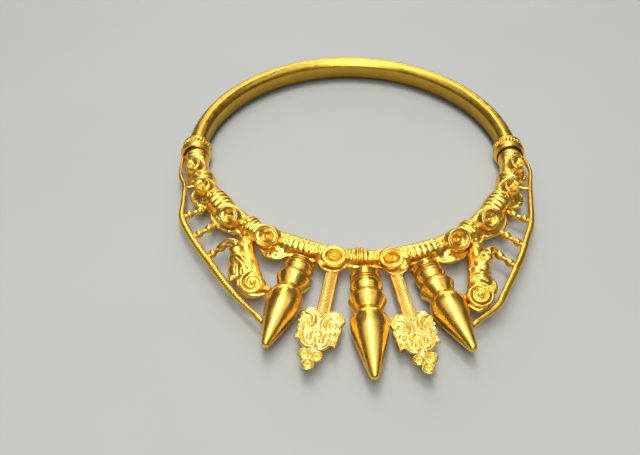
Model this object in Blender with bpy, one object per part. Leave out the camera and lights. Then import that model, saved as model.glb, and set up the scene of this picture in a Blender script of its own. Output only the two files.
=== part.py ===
"""Gold neck ring of the early Celtic kind, lying flat on its underside.

A plain bent hoop closes the back. A richly worked front arc plugs into two collars, and
carries three turned bud drops, two palmette pendants and a small figure on each side.
A thin rail runs down each side from the arc to the outer drop, held off by balusters.

Metres, +Z up. Reaches and angles are taken about the centre of the ring: angle 0 points
to the front (-Y), and a positive angle turns towards +X.
"""
import bmesh
import bpy
from math import acos, asin, atan, ceil, cos, degrees, pi, radians, sin, sqrt, tan
from mathutils import Matrix, Vector

# Ring as a whole
RING_RADIUS = 0.0759          # centre of the ring to the middle of the hoop
ARC_SKEW = 0.0012             # how far the old arc is pulled out of true at 45 degrees
ARC_SAG = 0.0025              # how far the front of the arc is drawn outward, at most
ARC_SAG_ANGLE = 12.0          # where that is, and over how many degrees to each side it fades
ARC_SAG_SPREAD = 45.0
JOINT_GAP = 0.0003            # gap left between two neighbouring pieces
FLAT_DEPTH = 0.00025          # how deep the resting flats are worn in

# Rear hoop, bent from a D-shaped tube
HOOP_WIDTH = 0.0102
HOOP_HEIGHT = 0.0120
HOOP_BOW = 0.0014             # how far the very back is bent outward
HOOP_END_SHARE = 0.90         # the section shrinks to this share at the collars
HOOP_FLAT_SHARE = 0.68        # where the flat inner face cuts the half width
HOOP_STATIONS = 34
HOOP_SIDES = 12

# Collars
COLLAR_RADIUS = 0.0074
COLLAR_LENGTH = 0.0086
COLLAR_SOCKET_DEPTH = 0.0036
COLLAR_SIDES = 16

# Front arc
CORE_RADIUS = 0.00525
CORE_SLIMMING = 0.0006        # how much thinner the core is at the middle of the front
TENON_RADIUS = 0.0045
TENON_CLEARANCE = 0.0005
TENON_LENGTH = 0.0030
FLANGE_THICKNESS = 0.0013
SEAM_PROUD = 0.0005
EDGE_SHARE = 0.985            # where the flange leaves the core
PLAIN_STEP = 5.0              # most degrees between rings of points where the arc is plain
LOBE_SHARES = (-1.0, -0.66, 0.0, 0.66, 1.0)
SHOULDER_ANGLE = 0.2          # degrees over which the core steps down to the tenon
ARC_TURNS = (32, 62, 95, 130, 180, 230, 265, 298, 328)

# Centre angle, number of ridges, pitch in degrees and height of each ribbed stretch
RIDGE_GROUPS = (
    (-69.2, 3, 1.25, 0.00045),
    (-54.6, 4, 2.10, 0.00085),
    (-37.7, 3, 1.35, 0.00060),
    (-18.0, 5, 2.20, 0.00040),
    (0.6, 3, 1.40, 0.00085),
    (19.4, 5, 2.20, 0.00040),
    (37.1, 3, 1.35, 0.00060),
    (53.8, 4, 2.10, 0.00085),
    (69.6, 3, 1.25, 0.00045),
)

# Middle angle, half width in degrees and depth of each scallop of the lower flange
FLANGE_LOBES = (
    (-73.6, 3.8, 0.0008),
    (-61.0, 4.4, 0.0038),
    (-46.4, 6.4, 0.0034),
    (-36.2, 2.6, 0.0022),
    (-26.0, 5.2, 0.0050),
    (-7.6, 4.0, 0.0039),
    (10.2, 3.5, 0.0046),
    (28.0, 6.2, 0.0047),
    (36.8, 3.0, 0.0030),
    (46.0, 6.4, 0.0042),
    (61.0, 4.4, 0.0036),
    (74.0, 3.8, 0.0018),
)

# Spiral bosses along the top of the arc
BOSS_ANGLES = (-74.6, -62.4, -44.6, -29.2, -7.2, 9.2, 30.9, 44.6, 62.6, 75.6)
BOSS_RADIUS = 0.0049          # along the arc
BOSS_SQUASH = 0.80            # radius across the arc, as a share of that
BOSS_RISE = 0.0017
BOSS_TILT = 52.0              # degrees up from the outside of the arc
BOSS_SIDES = 10

# Bud drops
DROP_SIDES = 16
DROP_ROOT_SHARE = 0.58        # radius of the root, as a share of the belly
BELLY_SHARE = 0.485           # where the belly is widest, as a share of the length
DROPS = {
    "left_drop": {"angle": -16.4, "stem": 0.0021, "length": 0.0442, "belly": 0.0071},
    "centre_drop": {"angle": 1.5, "stem": 0.0034, "length": 0.0502, "belly": 0.0075},
    "right_drop": {"angle": 18.0, "stem": 0.0020, "length": 0.0448, "belly": 0.0072},
}

# Palmette pendants: the strap, and the head at its end
STRAP_WIDTH = 0.0055
STRAP_THICKNESS = 0.0011
STRAP_LAP = 0.0030            # how far the strap runs in under the head
PALMETTE_SIDES = 10
PALMETTE_UNIT = 0.001         # the head is laid out in this unit
# Place across and along the head, radius, lift and knob height of each round of the head
PALMETTE_ROUNDS = (
    (4.2, 4.5, 3.8, 0.12, 0.5),
    (5.9, 9.3, 2.4, 0.02, 0.0),
    (6.9, 13.2, 2.1, -0.10, 0.0),
    (2.35, 21.1, 2.6, 0.06, 0.6),
)
PALMETTE_MIDDLE_ROUNDS = (
    (0.0, 8.9, 5.9, -0.06, 0.0),
    (0.0, 13.6, 4.6, -0.02, 0.0),
    (0.0, 18.1, 2.2, 0.00, 0.0),
    (0.0, 25.0, 2.6, 0.04, 0.6),
)
PALMETTES = {
    "left_palmette": {"angle": -7.3, "turn": -9.6, "head_turn": -13.3, "strap": 0.0214},
    "right_palmette": {"angle": 9.8, "turn": 9.3, "head_turn": 10.5, "strap": 0.0212},
}

# Side rails, as the angle of the points that they pass and how far outside the ring these lie
RAIL_RADIUS = 0.0014
RAIL_FOOT_RADIUS = 0.0018
RAIL_TIP_RADIUS = 0.0009
RAIL_SIDES = 8
RAIL_STEPS = 2
RAILS = {
    "left_rail": {
        "points": (
            (-83.0, 0.0064), (-75.0, 0.0080), (-69.3, 0.0077), (-61.4, 0.0120),
            (-56.0, 0.0162), (-47.9, 0.0194), (-39.1, 0.0235), (-28.3, 0.0320),
        ),
        "drop": "left_drop",
        "side": -1,
    },
    "right_rail": {
        "points": (
            (83.5, 0.0068), (77.4, 0.0093), (68.7, 0.0105), (61.7, 0.0134),
            (54.1, 0.0181), (47.9, 0.0213), (41.0, 0.0264), (30.2, 0.0367),
            (26.9, 0.0404),
        ),
        "drop": "right_drop",
        "side": 1,
    },
}
RAIL_LANDING = 0.75           # where the rail meets the drop, as a share of its length
RAIL_THICK_SHARE = 0.70       # share of the rail's run at which it is thickest
RAIL_TAPER_SHARE = 0.86       # share of the run at which the tip starts to taper
RAIL_BEATEN_SHARE = 0.55      # width of the beaten upper end, as a share of its height

# Balusters between rail and arc, by angle
BALUSTERS = {
    "left_baluster_1": ("left_rail", -56.0, None),
    "left_baluster_2": ("left_rail", -47.4, None),
    "left_baluster_3": ("left_rail", -39.2, "left_figure"),
    "right_baluster_1": ("right_rail", 54.6, None),
    "right_baluster_2": ("right_rail", 45.2, None),
    "right_baluster_3": ("right_rail", 38.0, "right_figure"),
}
BALUSTER_RADIUS = 0.0019
BALUSTER_HEAD_RADIUS = 0.0013 # the end on the arc
BALUSTER_FOOT_RADIUS = 0.0010 # the end on the rail
BALUSTER_SLIM_SPAN = 4.5      # a baluster shorter than this many radii is made slimmer
BALUSTER_SIDES = 8

# Small figures hanging from the arc, head outward and turned to the drop
FIGURE_SIDES = 9
FIGURE_RADIUS = 0.0054        # half width of the head, the widest part
FIGURE_FLATNESS = 0.86        # height of the body, as a share of its width
FIGURE_SHOULDER_SHARE = 0.30  # where the shoulder is, as a share of the way to the head
FIGURE_BOW = 0.0006           # how far the body bows outward at its middle
CROWN_LENGTH = 0.0042
CURL_LIFT = 0.0040
MUZZLE_LENGTH = 0.0062
MUZZLE_RADIUS = 0.0022
# Half width of the body at each point of its middle line, as a share of the head's
FIGURE_WIDTHS = (
    0.57, 0.66, 0.77, 0.66, 0.70, 0.80, 0.89, 0.82, 0.66, 0.75, 0.93, 1.00, 0.95,
)
# Distance along the muzzle and radius, as shares of its length and radius
MUZZLE_SHAPE = (
    (0.0, 0.0), (0.0, 1.0), (0.62, 0.86), (0.78, 0.59), (0.92, 0.64), (1.0, 0.36), (1.0, 0.0),
)
# Angle of the root on the arc, and angle of the head and how far outside the ring it lies
FIGURES = {
    "left_figure": {"angle": -36.0, "head": (-24.6, 0.0263), "side": -1},
    "right_figure": {"angle": 35.6, "head": (25.6, 0.0325), "side": 1},
}

# Slab that cuts the resting flats
GROUND_WIDTH = 0.5
GROUND_DEPTH = 0.02

GOLD = {
    "hoop": ((0.72, 0.50, 0.10), 0.32),
    "collar": ((0.80, 0.55, 0.12), 0.30),
    "arc": ((0.83, 0.58, 0.12), 0.27),
    "drop": ((0.80, 0.56, 0.13), 0.33),
    "palmette": ((0.86, 0.64, 0.20), 0.38),
    "rail": ((0.80, 0.56, 0.13), 0.31),
    "figure": ((0.84, 0.59, 0.13), 0.29),
}


def remove_everything():
    """Start from an empty scene."""
    for item in list(bpy.data.objects):
        bpy.data.objects.remove(item, do_unlink=True)


def gold(name):
    """The gold of one kind of piece."""
    colour, roughness = GOLD[name]
    material = bpy.data.materials.get(name + "_gold")
    if material is None:
        material = bpy.data.materials.new(name + "_gold")
        material.use_nodes = True
        shader = material.node_tree.nodes["Principled BSDF"]
        shader.inputs["Base Color"].default_value = (*colour, 1.0)
        shader.inputs["Metallic"].default_value = 1.0
        shader.inputs["Roughness"].default_value = roughness
    return material


def polar(angle, reach, height=0.0):
    """A point by its angle in degrees and its reach from the centre of the ring."""
    turn = radians(angle)
    return Vector((reach * sin(turn), -reach * cos(turn), height))


def outward(angle):
    """The horizontal direction out of the ring at an angle."""
    return polar(angle, 1.0)


def skin(name, loops, finish, parent, crease=42.0):
    """Make one closed body from loops of points; a loop of one point is a tip."""
    mesh = bpy.data.meshes.new(name)
    builder = bmesh.new()
    rings = [[builder.verts.new(point) for point in loop] for loop in loops]
    for first, second in zip(rings, rings[1:]):
        count = max(len(first), len(second))
        for index in range(count):
            following = (index + 1) % count
            if len(first) == 1:
                corners = (first[0], second[following], second[index])
            elif len(second) == 1:
                corners = (first[index], first[following], second[0])
            else:
                corners = (first[index], first[following], second[following], second[index])
            builder.faces.new(corners)
    for ring in (rings[0], rings[-1]):
        if len(ring) > 2:
            builder.faces.new(ring)
    bmesh.ops.recalc_face_normals(builder, faces=builder.faces)
    builder.to_mesh(mesh)
    builder.free()
    mesh.shade_smooth()
    mesh.set_sharp_from_angle(angle=radians(crease))
    mesh.materials.append(gold(finish))
    piece = bpy.data.objects.new(name, mesh)
    piece.parent = parent
    bpy.context.scene.collection.objects.link(piece)
    return piece


def turned_loops(profile, base, axis, sides, squash=1.0):
    """Loops of a turned form: profile holds the distance along the axis and the radius."""
    direction = axis.normalized()
    across = direction.orthogonal().normalized()
    if abs(direction.z) < 0.9:
        across = direction.cross(Vector((0.0, 0.0, 1.0))).normalized()
    third = direction.cross(across)
    loops = []
    for along, radius in profile:
        middle = base + direction * along
        if radius == 0.0:
            loops.append([middle])
            continue
        loops.append([
            middle + across * (radius * cos(2 * pi * k / sides))
            + third * (squash * radius * sin(2 * pi * k / sides))
            for k in range(sides)
        ])
    return loops


def turned(name, profile, base, axis, sides, finish, parent, squash=1.0):
    """A turned piece as one closed body."""
    return skin(name, turned_loops(profile, base, axis, sides, squash), finish, parent)


def as_guide(piece):
    """Keep a piece as a Boolean operand only."""
    piece.hide_render = True
    piece.display_type = "WIRE"
    return piece


def combine(target, operand, operation):
    """Add an exact Boolean to a piece."""
    boolean = target.modifiers.new(operation.lower(), "BOOLEAN")
    boolean.operation = operation
    boolean.solver = "EXACT"
    boolean.object = as_guide(operand)


def smooth_path(points, steps):
    """Points of a Catmull-Rom curve through the given ones."""
    ends = [2 * points[0] - points[1]] + list(points) + [2 * points[-1] - points[-2]]
    path = []
    for index in range(1, len(ends) - 2):
        before, start, end, after = ends[index - 1:index + 3]
        for step in range(steps):
            t = step / steps
            path.append(0.5 * (
                2 * start + (end - before) * t
                + (2 * before - 5 * start + 4 * end - after) * t ** 2
                + (3 * start - before - 3 * end + after) * t ** 3
            ))
    path.append(points[-1])
    return path


def path_loops(path, widths, heights, sides):
    """Elliptical loops square to a path that stays close to the horizontal."""
    loops = []
    up = Vector((0.0, 0.0, 1.0))
    for index, point in enumerate(path):
        before = path[max(index - 1, 0)]
        after = path[min(index + 1, len(path) - 1)]
        across = (after - before).normalized().cross(up).normalized()
        loops.append([
            point + across * (widths[index] * cos(2 * pi * k / sides))
            + up * (heights[index] * sin(2 * pi * k / sides))
            for k in range(sides)
        ])
    return loops


# Rear hoop
def collar_half_angle():
    """Half the angle that a collar and its gap take up on the ring, in degrees."""
    return degrees(asin((COLLAR_LENGTH / 2 + JOINT_GAP) / (RING_RADIUS - HOOP_WIDTH / 2)))


def make_hoop(parent):
    """The plain back half: rounded outside and above, flat on the inner face."""
    start = 90 + collar_half_angle()
    loops = []
    for index in range(HOOP_STATIONS + 1):
        share = index / HOOP_STATIONS
        angle = start + (360 - 2 * start) * share
        swell = HOOP_END_SHARE + (1 - HOOP_END_SHARE) * sin(pi * share) ** 0.7
        reach = RING_RADIUS + HOOP_BOW * cos(radians(angle)) ** 4
        half_width = HOOP_WIDTH / 2 * swell
        half_height = HOOP_HEIGHT / 2 * swell
        flat = HOOP_FLAT_SHARE * half_width
        loop = []
        for k in range(HOOP_SIDES):
            turn = 2 * pi * (k + 0.5) / HOOP_SIDES
            out = max(half_width * cos(turn), -flat)
            loop.append(polar(angle, reach + out, half_height * sin(turn)))
        loops.append(loop)
    return skin("rear_hoop", loops, "hoop", parent)


# Collars
def make_collar(name, side, parent):
    """A ringed sleeve: its back closes on the hoop, its mouth takes the arc's tenon."""
    half = COLLAR_LENGTH / 2
    radius = COLLAR_RADIUS
    bore = TENON_RADIUS + TENON_CLEARANCE
    lip = bore + 0.0011
    profile = (
        (-half, 0.0), (-half, 0.74 * radius), (-0.80 * half, 0.84 * radius),
        (-0.52 * half, 0.89 * radius), (-0.40 * half, 0.85 * radius),
        (-0.16 * half, 0.97 * radius), (0.02 * half, radius), (0.50 * half, radius),
        (0.60 * half, 0.92 * radius), (0.80 * half, 0.95 * radius),
        (half, lip), (half, bore), (half - COLLAR_SOCKET_DEPTH, bore),
        (half - COLLAR_SOCKET_DEPTH, 0.0),
    )
    base = polar(90.0 * side, RING_RADIUS)
    return turned(name, profile, base, Vector((0.0, -1.0, 0.0)), COLLAR_SIDES, "collar", parent)


# Front arc
def arc_reach(angle):
    """Reach of the middle of the arc, with the pull of age in it."""
    share = min(1.0, abs(angle - ARC_SAG_ANGLE) / ARC_SAG_SPREAD)
    sag = ARC_SAG * cos(pi / 2 * share) ** 2
    return RING_RADIUS + ARC_SKEW * sin(2 * radians(angle)) + sag


def core_radius(angle):
    """Radius of the arc's plain core, a little slimmer at the middle of the front."""
    return CORE_RADIUS - CORE_SLIMMING * max(0.0, cos(2 * radians(angle)))


def flange_depth(angle):
    """How far the scalloped lower edge stands out of the core."""
    depth = SEAM_PROUD
    for middle, half_width, lobe in FLANGE_LOBES:
        share = abs(angle - middle) / half_width
        if share < 1:
            depth = max(depth, SEAM_PROUD + lobe * cos(pi / 2 * share) ** 0.6)
    return depth


def arc_edge(angle, half_width=0.0):
    """Largest reach of the arc's outer edge within a half width of an angle."""
    margin = degrees(half_width / RING_RADIUS)
    reaches = []
    for (first, start), (second, end) in zip(arc_stations(), arc_stations()[1:]):
        for share in (0.0, 0.5, 1.0):
            middle = first + (second - first) * share
            if abs(middle - angle) <= max(margin, (second - first) / 2):
                reaches.append(
                    (1 - share) * edge_reach(first, start) + share * edge_reach(second, end))
    return max(reaches)


def edge_reach(angle, radius):
    """Reach of the thin outer edge at one ring of points."""
    return arc_reach(angle) + EDGE_SHARE * radius + flange_depth(angle)


def tenon_angle():
    """Angle at which the plain tenon of the arc starts, in degrees."""
    return degrees(acos((COLLAR_LENGTH / 2 + JOINT_GAP) / (RING_RADIUS - CORE_RADIUS)))


def arc_stations():
    """Angle and core radius of each ring of points, from one tenon to the other."""
    shoulder = tenon_angle()
    tenon_end = shoulder + degrees(TENON_LENGTH / RING_RADIUS)
    knots = [(-shoulder, 0.93 * CORE_RADIUS), (shoulder, 0.93 * CORE_RADIUS)]
    spans = []
    for middle, count, pitch, height in RIDGE_GROUPS:
        spans.append((middle - (count / 2 + 0.3) * pitch, middle + (count / 2 + 0.3) * pitch))
        for index in range(2 * count + 1):
            angle = middle + (index - count) * pitch / 2
            knots.append((angle, core_radius(angle) + (height if index % 2 else -0.3 * height)))
    for middle, half_width, _ in FLANGE_LOBES:
        for share in LOBE_SHARES:
            angle = middle + share * half_width
            if not any(low < angle < high for low, high in spans):
                knots.append((angle, core_radius(angle)))
    knots.sort()
    stations = [(-tenon_end, TENON_RADIUS), (-shoulder - SHOULDER_ANGLE, TENON_RADIUS)]
    for first, second in zip(knots, knots[1:]):
        stations.append(first)
        span = second[0] - first[0]
        pieces = ceil(span / PLAIN_STEP)
        for index in range(1, pieces):
            angle = first[0] + span * index / pieces
            stations.append((angle, core_radius(angle)))
    stations.append(knots[-1])
    stations += [(shoulder + SHOULDER_ANGLE, TENON_RADIUS), (tenon_end, TENON_RADIUS)]
    return stations


def arc_loop(angle, radius):
    """One ring of points: a round tube whose outer edge is drawn out to the flange."""
    depth = flange_depth(angle) if abs(angle) < tenon_angle() else 0.0
    middle = arc_reach(angle)
    edge = FLANGE_THICKNESS / 2
    loop = []
    for turn in ARC_TURNS:
        skirt = depth * max(0.0, cos(radians(turn))) ** 3 * 0.45
        out = radius * cos(radians(turn)) + skirt
        loop.append(polar(angle, middle + out, radius * sin(radians(turn))))
    out = EDGE_SHARE * radius + depth
    loop.append(polar(angle, middle + out, -edge))
    loop.append(polar(angle, middle + out, edge))
    return loop


def boss_profile():
    """A button with a raised outer ring and a centre knob, rooted in the core."""
    r = BOSS_RADIUS
    rise = BOSS_RISE
    return (
        (-0.0022, 0.0), (-0.0022, 0.80 * r), (0.35 * rise, r), (rise, 0.84 * r),
        (0.50 * rise, 0.52 * r), (0.60 * rise, 0.34 * r), (1.05 * rise, 0.20 * r),
        (1.10 * rise, 0.0),
    )


def make_arc(parent):
    """The worked front arc with its ribs, bosses and scalloped flange."""
    loops = [arc_loop(angle, radius) for angle, radius in arc_stations()]
    arc = skin("front_arc", loops, "arc", parent, crease=38.0)
    lift = radians(BOSS_TILT)
    for index, angle in enumerate(BOSS_ANGLES):
        direction = outward(angle) * cos(lift) + Vector((0.0, 0.0, sin(lift)))
        base = polar(angle, arc_reach(angle)) + direction * core_radius(angle)
        boss = turned(
            f"boss_guide_{index}", boss_profile(), base, direction, BOSS_SIDES, "arc", parent,
            BOSS_SQUASH)
        combine(arc, boss, "UNION")
    return arc


# Bud drops
def drop_root(name):
    """Reach at which a drop starts, clear of the arc that carries it."""
    angle = DROPS[name]["angle"]
    root_radius = DROP_ROOT_SHARE * DROPS[name]["belly"]
    return arc_edge(angle, root_radius) + JOINT_GAP


def drop_profile(name):
    """Distance from the root and radius along a drop."""
    sizes = DROPS[name]
    stem, length, belly = sizes["stem"], sizes["length"], sizes["belly"]
    shape = (
        (0.000, 0.86), (0.022, 0.87), (0.040, 0.80), (0.105, 0.79), (0.165, 0.85),
        (0.198, 0.93), (0.222, 0.89), (0.250, 0.94), (0.290, 0.81), (0.332, 0.69),
        (0.358, 0.76), (0.408, 0.93), (BELLY_SHARE, 1.00), (0.620, 0.88), (0.780, 0.60),
        (0.960, 0.26), (1.000, 0.18),
    )
    profile = [(0.0, 0.0), (0.0, DROP_ROOT_SHARE * belly)]
    profile += [(stem + share * length, width * belly) for share, width in shape]
    profile.append((stem + length, 0.0))
    return profile


def drop_radius(name, along):
    """Radius of a drop at a distance from its root."""
    profile = drop_profile(name)
    for (start, first), (end, second) in zip(profile, profile[1:]):
        if start <= along <= end and end > start:
            return first + (second - first) * (along - start) / (end - start)
    return 0.0


def make_drop(name, parent):
    """A turned baluster neck with a long bud below it."""
    angle = DROPS[name]["angle"]
    base = polar(angle, drop_root(name))
    return turned(name, drop_profile(name), base, outward(angle), DROP_SIDES, "drop", parent)


# Palmette pendants
def button(name, middle, radius, top, bottom, knob, parent):
    """A flat disc; where knob is not 0 it has a raised rim and a knob of that height."""
    thickness = top - bottom
    profile = [(0.0, 0.0), (0.0, radius), (0.75 * thickness, radius)]
    if knob:
        profile += [
            (thickness, 0.82 * radius), (0.68 * thickness, 0.56 * radius),
            ((0.68 + knob) * thickness, 0.20 * radius), ((0.72 + knob) * thickness, 0.0),
        ]
    else:
        profile += [(thickness, 0.80 * radius), (thickness, 0.0)]
    base = Vector((middle.x, middle.y, bottom))
    return turned(name, profile, base, Vector((0.0, 0.0, 1.0)), PALMETTE_SIDES, "palmette", parent)


def make_palmette(name, parent):
    """A strap with a roped ridge, ending in a palmette of scrolls and three beads."""
    sizes = PALMETTES[name]
    root = polar(sizes["angle"], arc_edge(sizes["angle"]) + JOINT_GAP)
    along = outward(sizes["turn"])
    across = Vector((-along.y, along.x, 0.0))
    half = STRAP_WIDTH / 2
    thick = STRAP_THICKNESS / 2
    section = (
        (-half, -thick), (half, -thick), (half, 0.5 * thick), (0.72 * half, thick),
        (0.50 * half, 0.7 * thick), (0.22 * half, 1.1 * thick), (-0.22 * half, 1.1 * thick),
        (-0.50 * half, 0.7 * thick), (-0.72 * half, thick), (-half, 0.5 * thick),
    )
    strap_loops = [
        [root + along * reach + across * u + Vector((0.0, 0.0, v)) for u, v in section]
        for reach in (0.0, sizes["strap"] + STRAP_LAP)
    ]
    palmette = skin(name, strap_loops, "palmette", parent, crease=30.0)
    head = root + along * sizes["strap"]
    along = outward(sizes["head_turn"])
    across = Vector((-along.y, along.x, 0.0))
    rounds = list(PALMETTE_MIDDLE_ROUNDS)
    for u, v, radius, lift, knob in PALMETTE_ROUNDS:
        rounds += [(-u, v, radius, lift - 0.03, knob), (u, v + 0.1, radius, lift + 0.03, knob)]
    for index, (u, v, radius, lift, knob) in enumerate(rounds):
        middle = head + (across * u + along * v) * PALMETTE_UNIT
        top = thick + lift * PALMETTE_UNIT
        bottom = -thick - 0.5 * lift * PALMETTE_UNIT
        disc = button(
            f"{name}_guide_{index}", middle, radius * PALMETTE_UNIT, top, bottom, knob, parent)
        combine(palmette, disc, "UNION")
    return palmette


# Side rails and their balusters
def rail_path(name):
    """Middle line of a rail, from the collar down to its outer drop."""
    sizes = RAILS[name]
    points = [polar(angle, RING_RADIUS + outside) for angle, outside in sizes["points"]]
    drop = DROPS[sizes["drop"]]
    axis = outward(drop["angle"])
    side = Vector((-axis.y, axis.x, 0.0)) * sizes["side"]
    along = drop["stem"] + RAIL_LANDING * drop["length"]
    clear = drop_radius(sizes["drop"], along) + JOINT_GAP + RAIL_TIP_RADIUS * sqrt(2)
    points.append(axis * (drop_root(sizes["drop"]) + along) + side * clear)
    return smooth_path(points, RAIL_STEPS)


def rail_radii(count):
    """Radius at each point of a rail: slim above, thicker below, tapered at the tip."""
    radii = []
    for index in range(count):
        share = index / (count - 1)
        radius = RAIL_RADIUS + (RAIL_FOOT_RADIUS - RAIL_RADIUS) * min(1.0, share / RAIL_THICK_SHARE) ** 2
        if share > RAIL_TAPER_SHARE:
            taper = (share - RAIL_TAPER_SHARE) / (1 - RAIL_TAPER_SHARE)
            radius += (RAIL_TIP_RADIUS - radius) * taper
        radii.append(radius)
    return radii


def make_rail(name, parent):
    """A thin round rail, beaten flat where it starts beside the arc."""
    path = rail_path(name)
    heights = rail_radii(len(path))
    widths = [
        radius * (RAIL_BEATEN_SHARE + (1 - RAIL_BEATEN_SHARE) * min(1.0, index / (RAIL_STEPS + 1)))
        for index, radius in enumerate(heights)
    ]
    return skin(name, path_loops(path, widths, heights, RAIL_SIDES), "rail", parent)


def rail_crossing(name, angle):
    """Where a rail crosses an angle: reach of its middle line, slant and radius."""
    path = rail_path(name)
    radii = rail_radii(len(path))
    normal = Vector((cos(radians(angle)), sin(radians(angle)), 0.0))
    for index, (first, second) in enumerate(zip(path, path[1:])):
        start, end = first.dot(normal), second.dot(normal)
        if start * end <= 0 and start != end:
            crossing = first.lerp(second, start / (start - end))
            run = (second - first).normalized()
            slant = acos(min(1.0, abs(run.dot(normal))))
            return crossing.length, slant, max(radii[index], radii[index + 1])
    return path[-1].length, 0.0, radii[-1]


def make_baluster(name, shoulders, parent):
    """A turned stay with two bulbs, from the arc or a figure's shoulder to the rail."""
    rail, angle, figure = BALUSTERS[name]
    start = (shoulders[figure] if figure else arc_edge(angle, BALUSTER_HEAD_RADIUS)) + JOINT_GAP
    reach, slant, rail_radius = rail_crossing(rail, angle)
    end = reach - (rail_radius + JOINT_GAP) / cos(slant) - BALUSTER_FOOT_RADIUS * tan(slant)
    length = end - start
    slim = min(1.0, length / (BALUSTER_SLIM_SPAN * BALUSTER_RADIUS))
    shape = (
        (0.10, 0.62), (0.30, 1.00), (0.50, 0.50), (0.74, 0.95), (0.90, 0.52),
    )
    profile = [(0.0, 0.0), (0.0, BALUSTER_HEAD_RADIUS * slim)]
    profile += [(share * length, width * BALUSTER_RADIUS * slim) for share, width in shape]
    profile += [(length, BALUSTER_FOOT_RADIUS * slim), (length, 0.0)]
    return turned(name, profile, polar(angle, start), outward(angle), BALUSTER_SIDES, "rail", parent)


# Small figures
def figure_spine(name):
    """Middle line of a figure's body, from the arc to the crown of its head."""
    sizes = FIGURES[name]
    head_angle, head_outside = sizes["head"]
    edge = arc_edge(sizes["angle"]) + JOINT_GAP
    head = polar(head_angle, RING_RADIUS + head_outside)
    heading = (head - polar(sizes["angle"], edge)).normalized()
    slant = heading.cross(outward(sizes["angle"])).length
    root = polar(sizes["angle"], edge + 1.3 * slant * FIGURE_WIDTHS[0] * FIGURE_RADIUS)
    middle = root.lerp(head, 0.46) + outward(sizes["angle"]) * FIGURE_BOW
    return smooth_path([root, middle, head], 6)


def shoulder_reach(name):
    """Reach at which a baluster lands on the figure's shoulder."""
    edge = arc_edge(FIGURES[name]["angle"])
    head_reach = RING_RADIUS + FIGURES[name]["head"][1]
    return edge + (head_reach - edge) * FIGURE_SHOULDER_SHARE


def make_figure(name, parent):
    """A crouched figure with a bent arm, a large side curl and a short muzzle."""
    sizes = FIGURES[name]
    spine = figure_spine(name)
    widths = [share * FIGURE_RADIUS for share in FIGURE_WIDTHS]
    heights = [FIGURE_FLATNESS * width for width in widths]
    loops = path_loops(spine, widths, heights, FIGURE_SIDES)
    crown = spine[-1] + (spine[-1] - spine[-2]).normalized() * CROWN_LENGTH
    crown_width = 0.41 * FIGURE_RADIUS
    crown_height = 0.33 * FIGURE_RADIUS
    loops.append(path_loops(
        [spine[-2], crown], (0.0, crown_width), (0.0, crown_height), FIGURE_SIDES)[1])
    loops.append([crown + (crown - spine[-1]) * 0.15])
    figure = skin(name, loops, "figure", parent)
    curl = turned(
        name + "_curl_guide", boss_profile(), spine[-1] + Vector((0.0, 0.0, CURL_LIFT)),
        Vector((0.0, -0.30, 1.0)), BOSS_SIDES, "figure", parent,
    )
    combine(figure, curl, "UNION")
    inward = Vector((-sizes["side"], -0.25, 0.0)).normalized()
    muzzle = [(along * MUZZLE_LENGTH, share * MUZZLE_RADIUS) for along, share in MUZZLE_SHAPE]
    snout = turned(name + "_muzzle_guide", muzzle, spine[-1], inward, 8, "figure", parent)
    combine(figure, snout, "UNION")
    return figure


# Lying at rest
def lay_down(frame):
    """Tilt the ring so that both collars and the centre drop touch the ground."""
    centre = DROPS["centre_drop"]
    belly_reach = drop_root("centre_drop") + centre["stem"] + BELLY_SHARE * centre["length"]
    belly_reach *= cos(radians(centre["angle"]))
    frame.rotation_euler.x = -atan((centre["belly"] - COLLAR_RADIUS) / belly_reach)
    frame.location.z = COLLAR_RADIUS - FLAT_DEPTH
    bpy.context.view_layer.update()


def centre_over_origin(frame, pieces):
    """Slide the ring so that the middle of its outline stands over the origin."""
    corners = [piece.matrix_world @ vertex.co for piece in pieces for vertex in piece.data.vertices]
    for axis in (0, 1):
        values = [corner[axis] for corner in corners]
        frame.location[axis] -= (min(values) + max(values)) / 2
    bpy.context.view_layer.update()


def make_ground():
    """A slab below the ground, which cuts the small resting flats."""
    mesh = bpy.data.meshes.new("ground_guide")
    builder = bmesh.new()
    shape = Matrix.Diagonal((GROUND_WIDTH, GROUND_WIDTH, GROUND_DEPTH, 1.0))
    bmesh.ops.create_cube(builder, size=1.0, matrix=shape)
    bmesh.ops.translate(builder, verts=builder.verts, vec=(0.0, 0.0, -GROUND_DEPTH / 2))
    builder.to_mesh(mesh)
    builder.free()
    ground = bpy.data.objects.new("ground_guide", mesh)
    bpy.context.scene.collection.objects.link(ground)
    return ground


def main():
    """Build every piece and lay the neck ring down."""
    remove_everything()
    frame = bpy.data.objects.new("ring_frame", None)
    bpy.context.scene.collection.objects.link(frame)
    pieces = [make_hoop(frame)]
    collars = [make_collar("left_collar", -1, frame), make_collar("right_collar", 1, frame)]
    pieces += collars
    pieces.append(make_arc(frame))
    drops = [make_drop(name, frame) for name in DROPS]
    pieces += drops
    pieces += [make_palmette(name, frame) for name in PALMETTES]
    pieces += [make_rail(name, frame) for name in RAILS]
    pieces += [make_figure(name, frame) for name in FIGURES]
    shoulders = {name: shoulder_reach(name) for name in FIGURES}
    pieces += [make_baluster(name, shoulders, frame) for name in BALUSTERS]
    lay_down(frame)
    centre_over_origin(frame, pieces)
    ground = make_ground()
    for piece in collars + drops:
        combine(piece, ground, "DIFFERENCE")


main()
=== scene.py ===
"""Looks of the gold neck ring: worked surfaces, gold finishes, floor, light and camera.

Metres throughout. Reaches and angles are taken about the centre of the ring, as in the solid
model: angle 0 points to the front, a positive angle turns towards +X. Names that end in _MM are
in millimetres, and so are relief, palmettes and the tables that say so; they are scaled once.
"""

import math

import bmesh
import bpy
import numpy as np
from mathutils import Matrix, Vector


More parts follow.
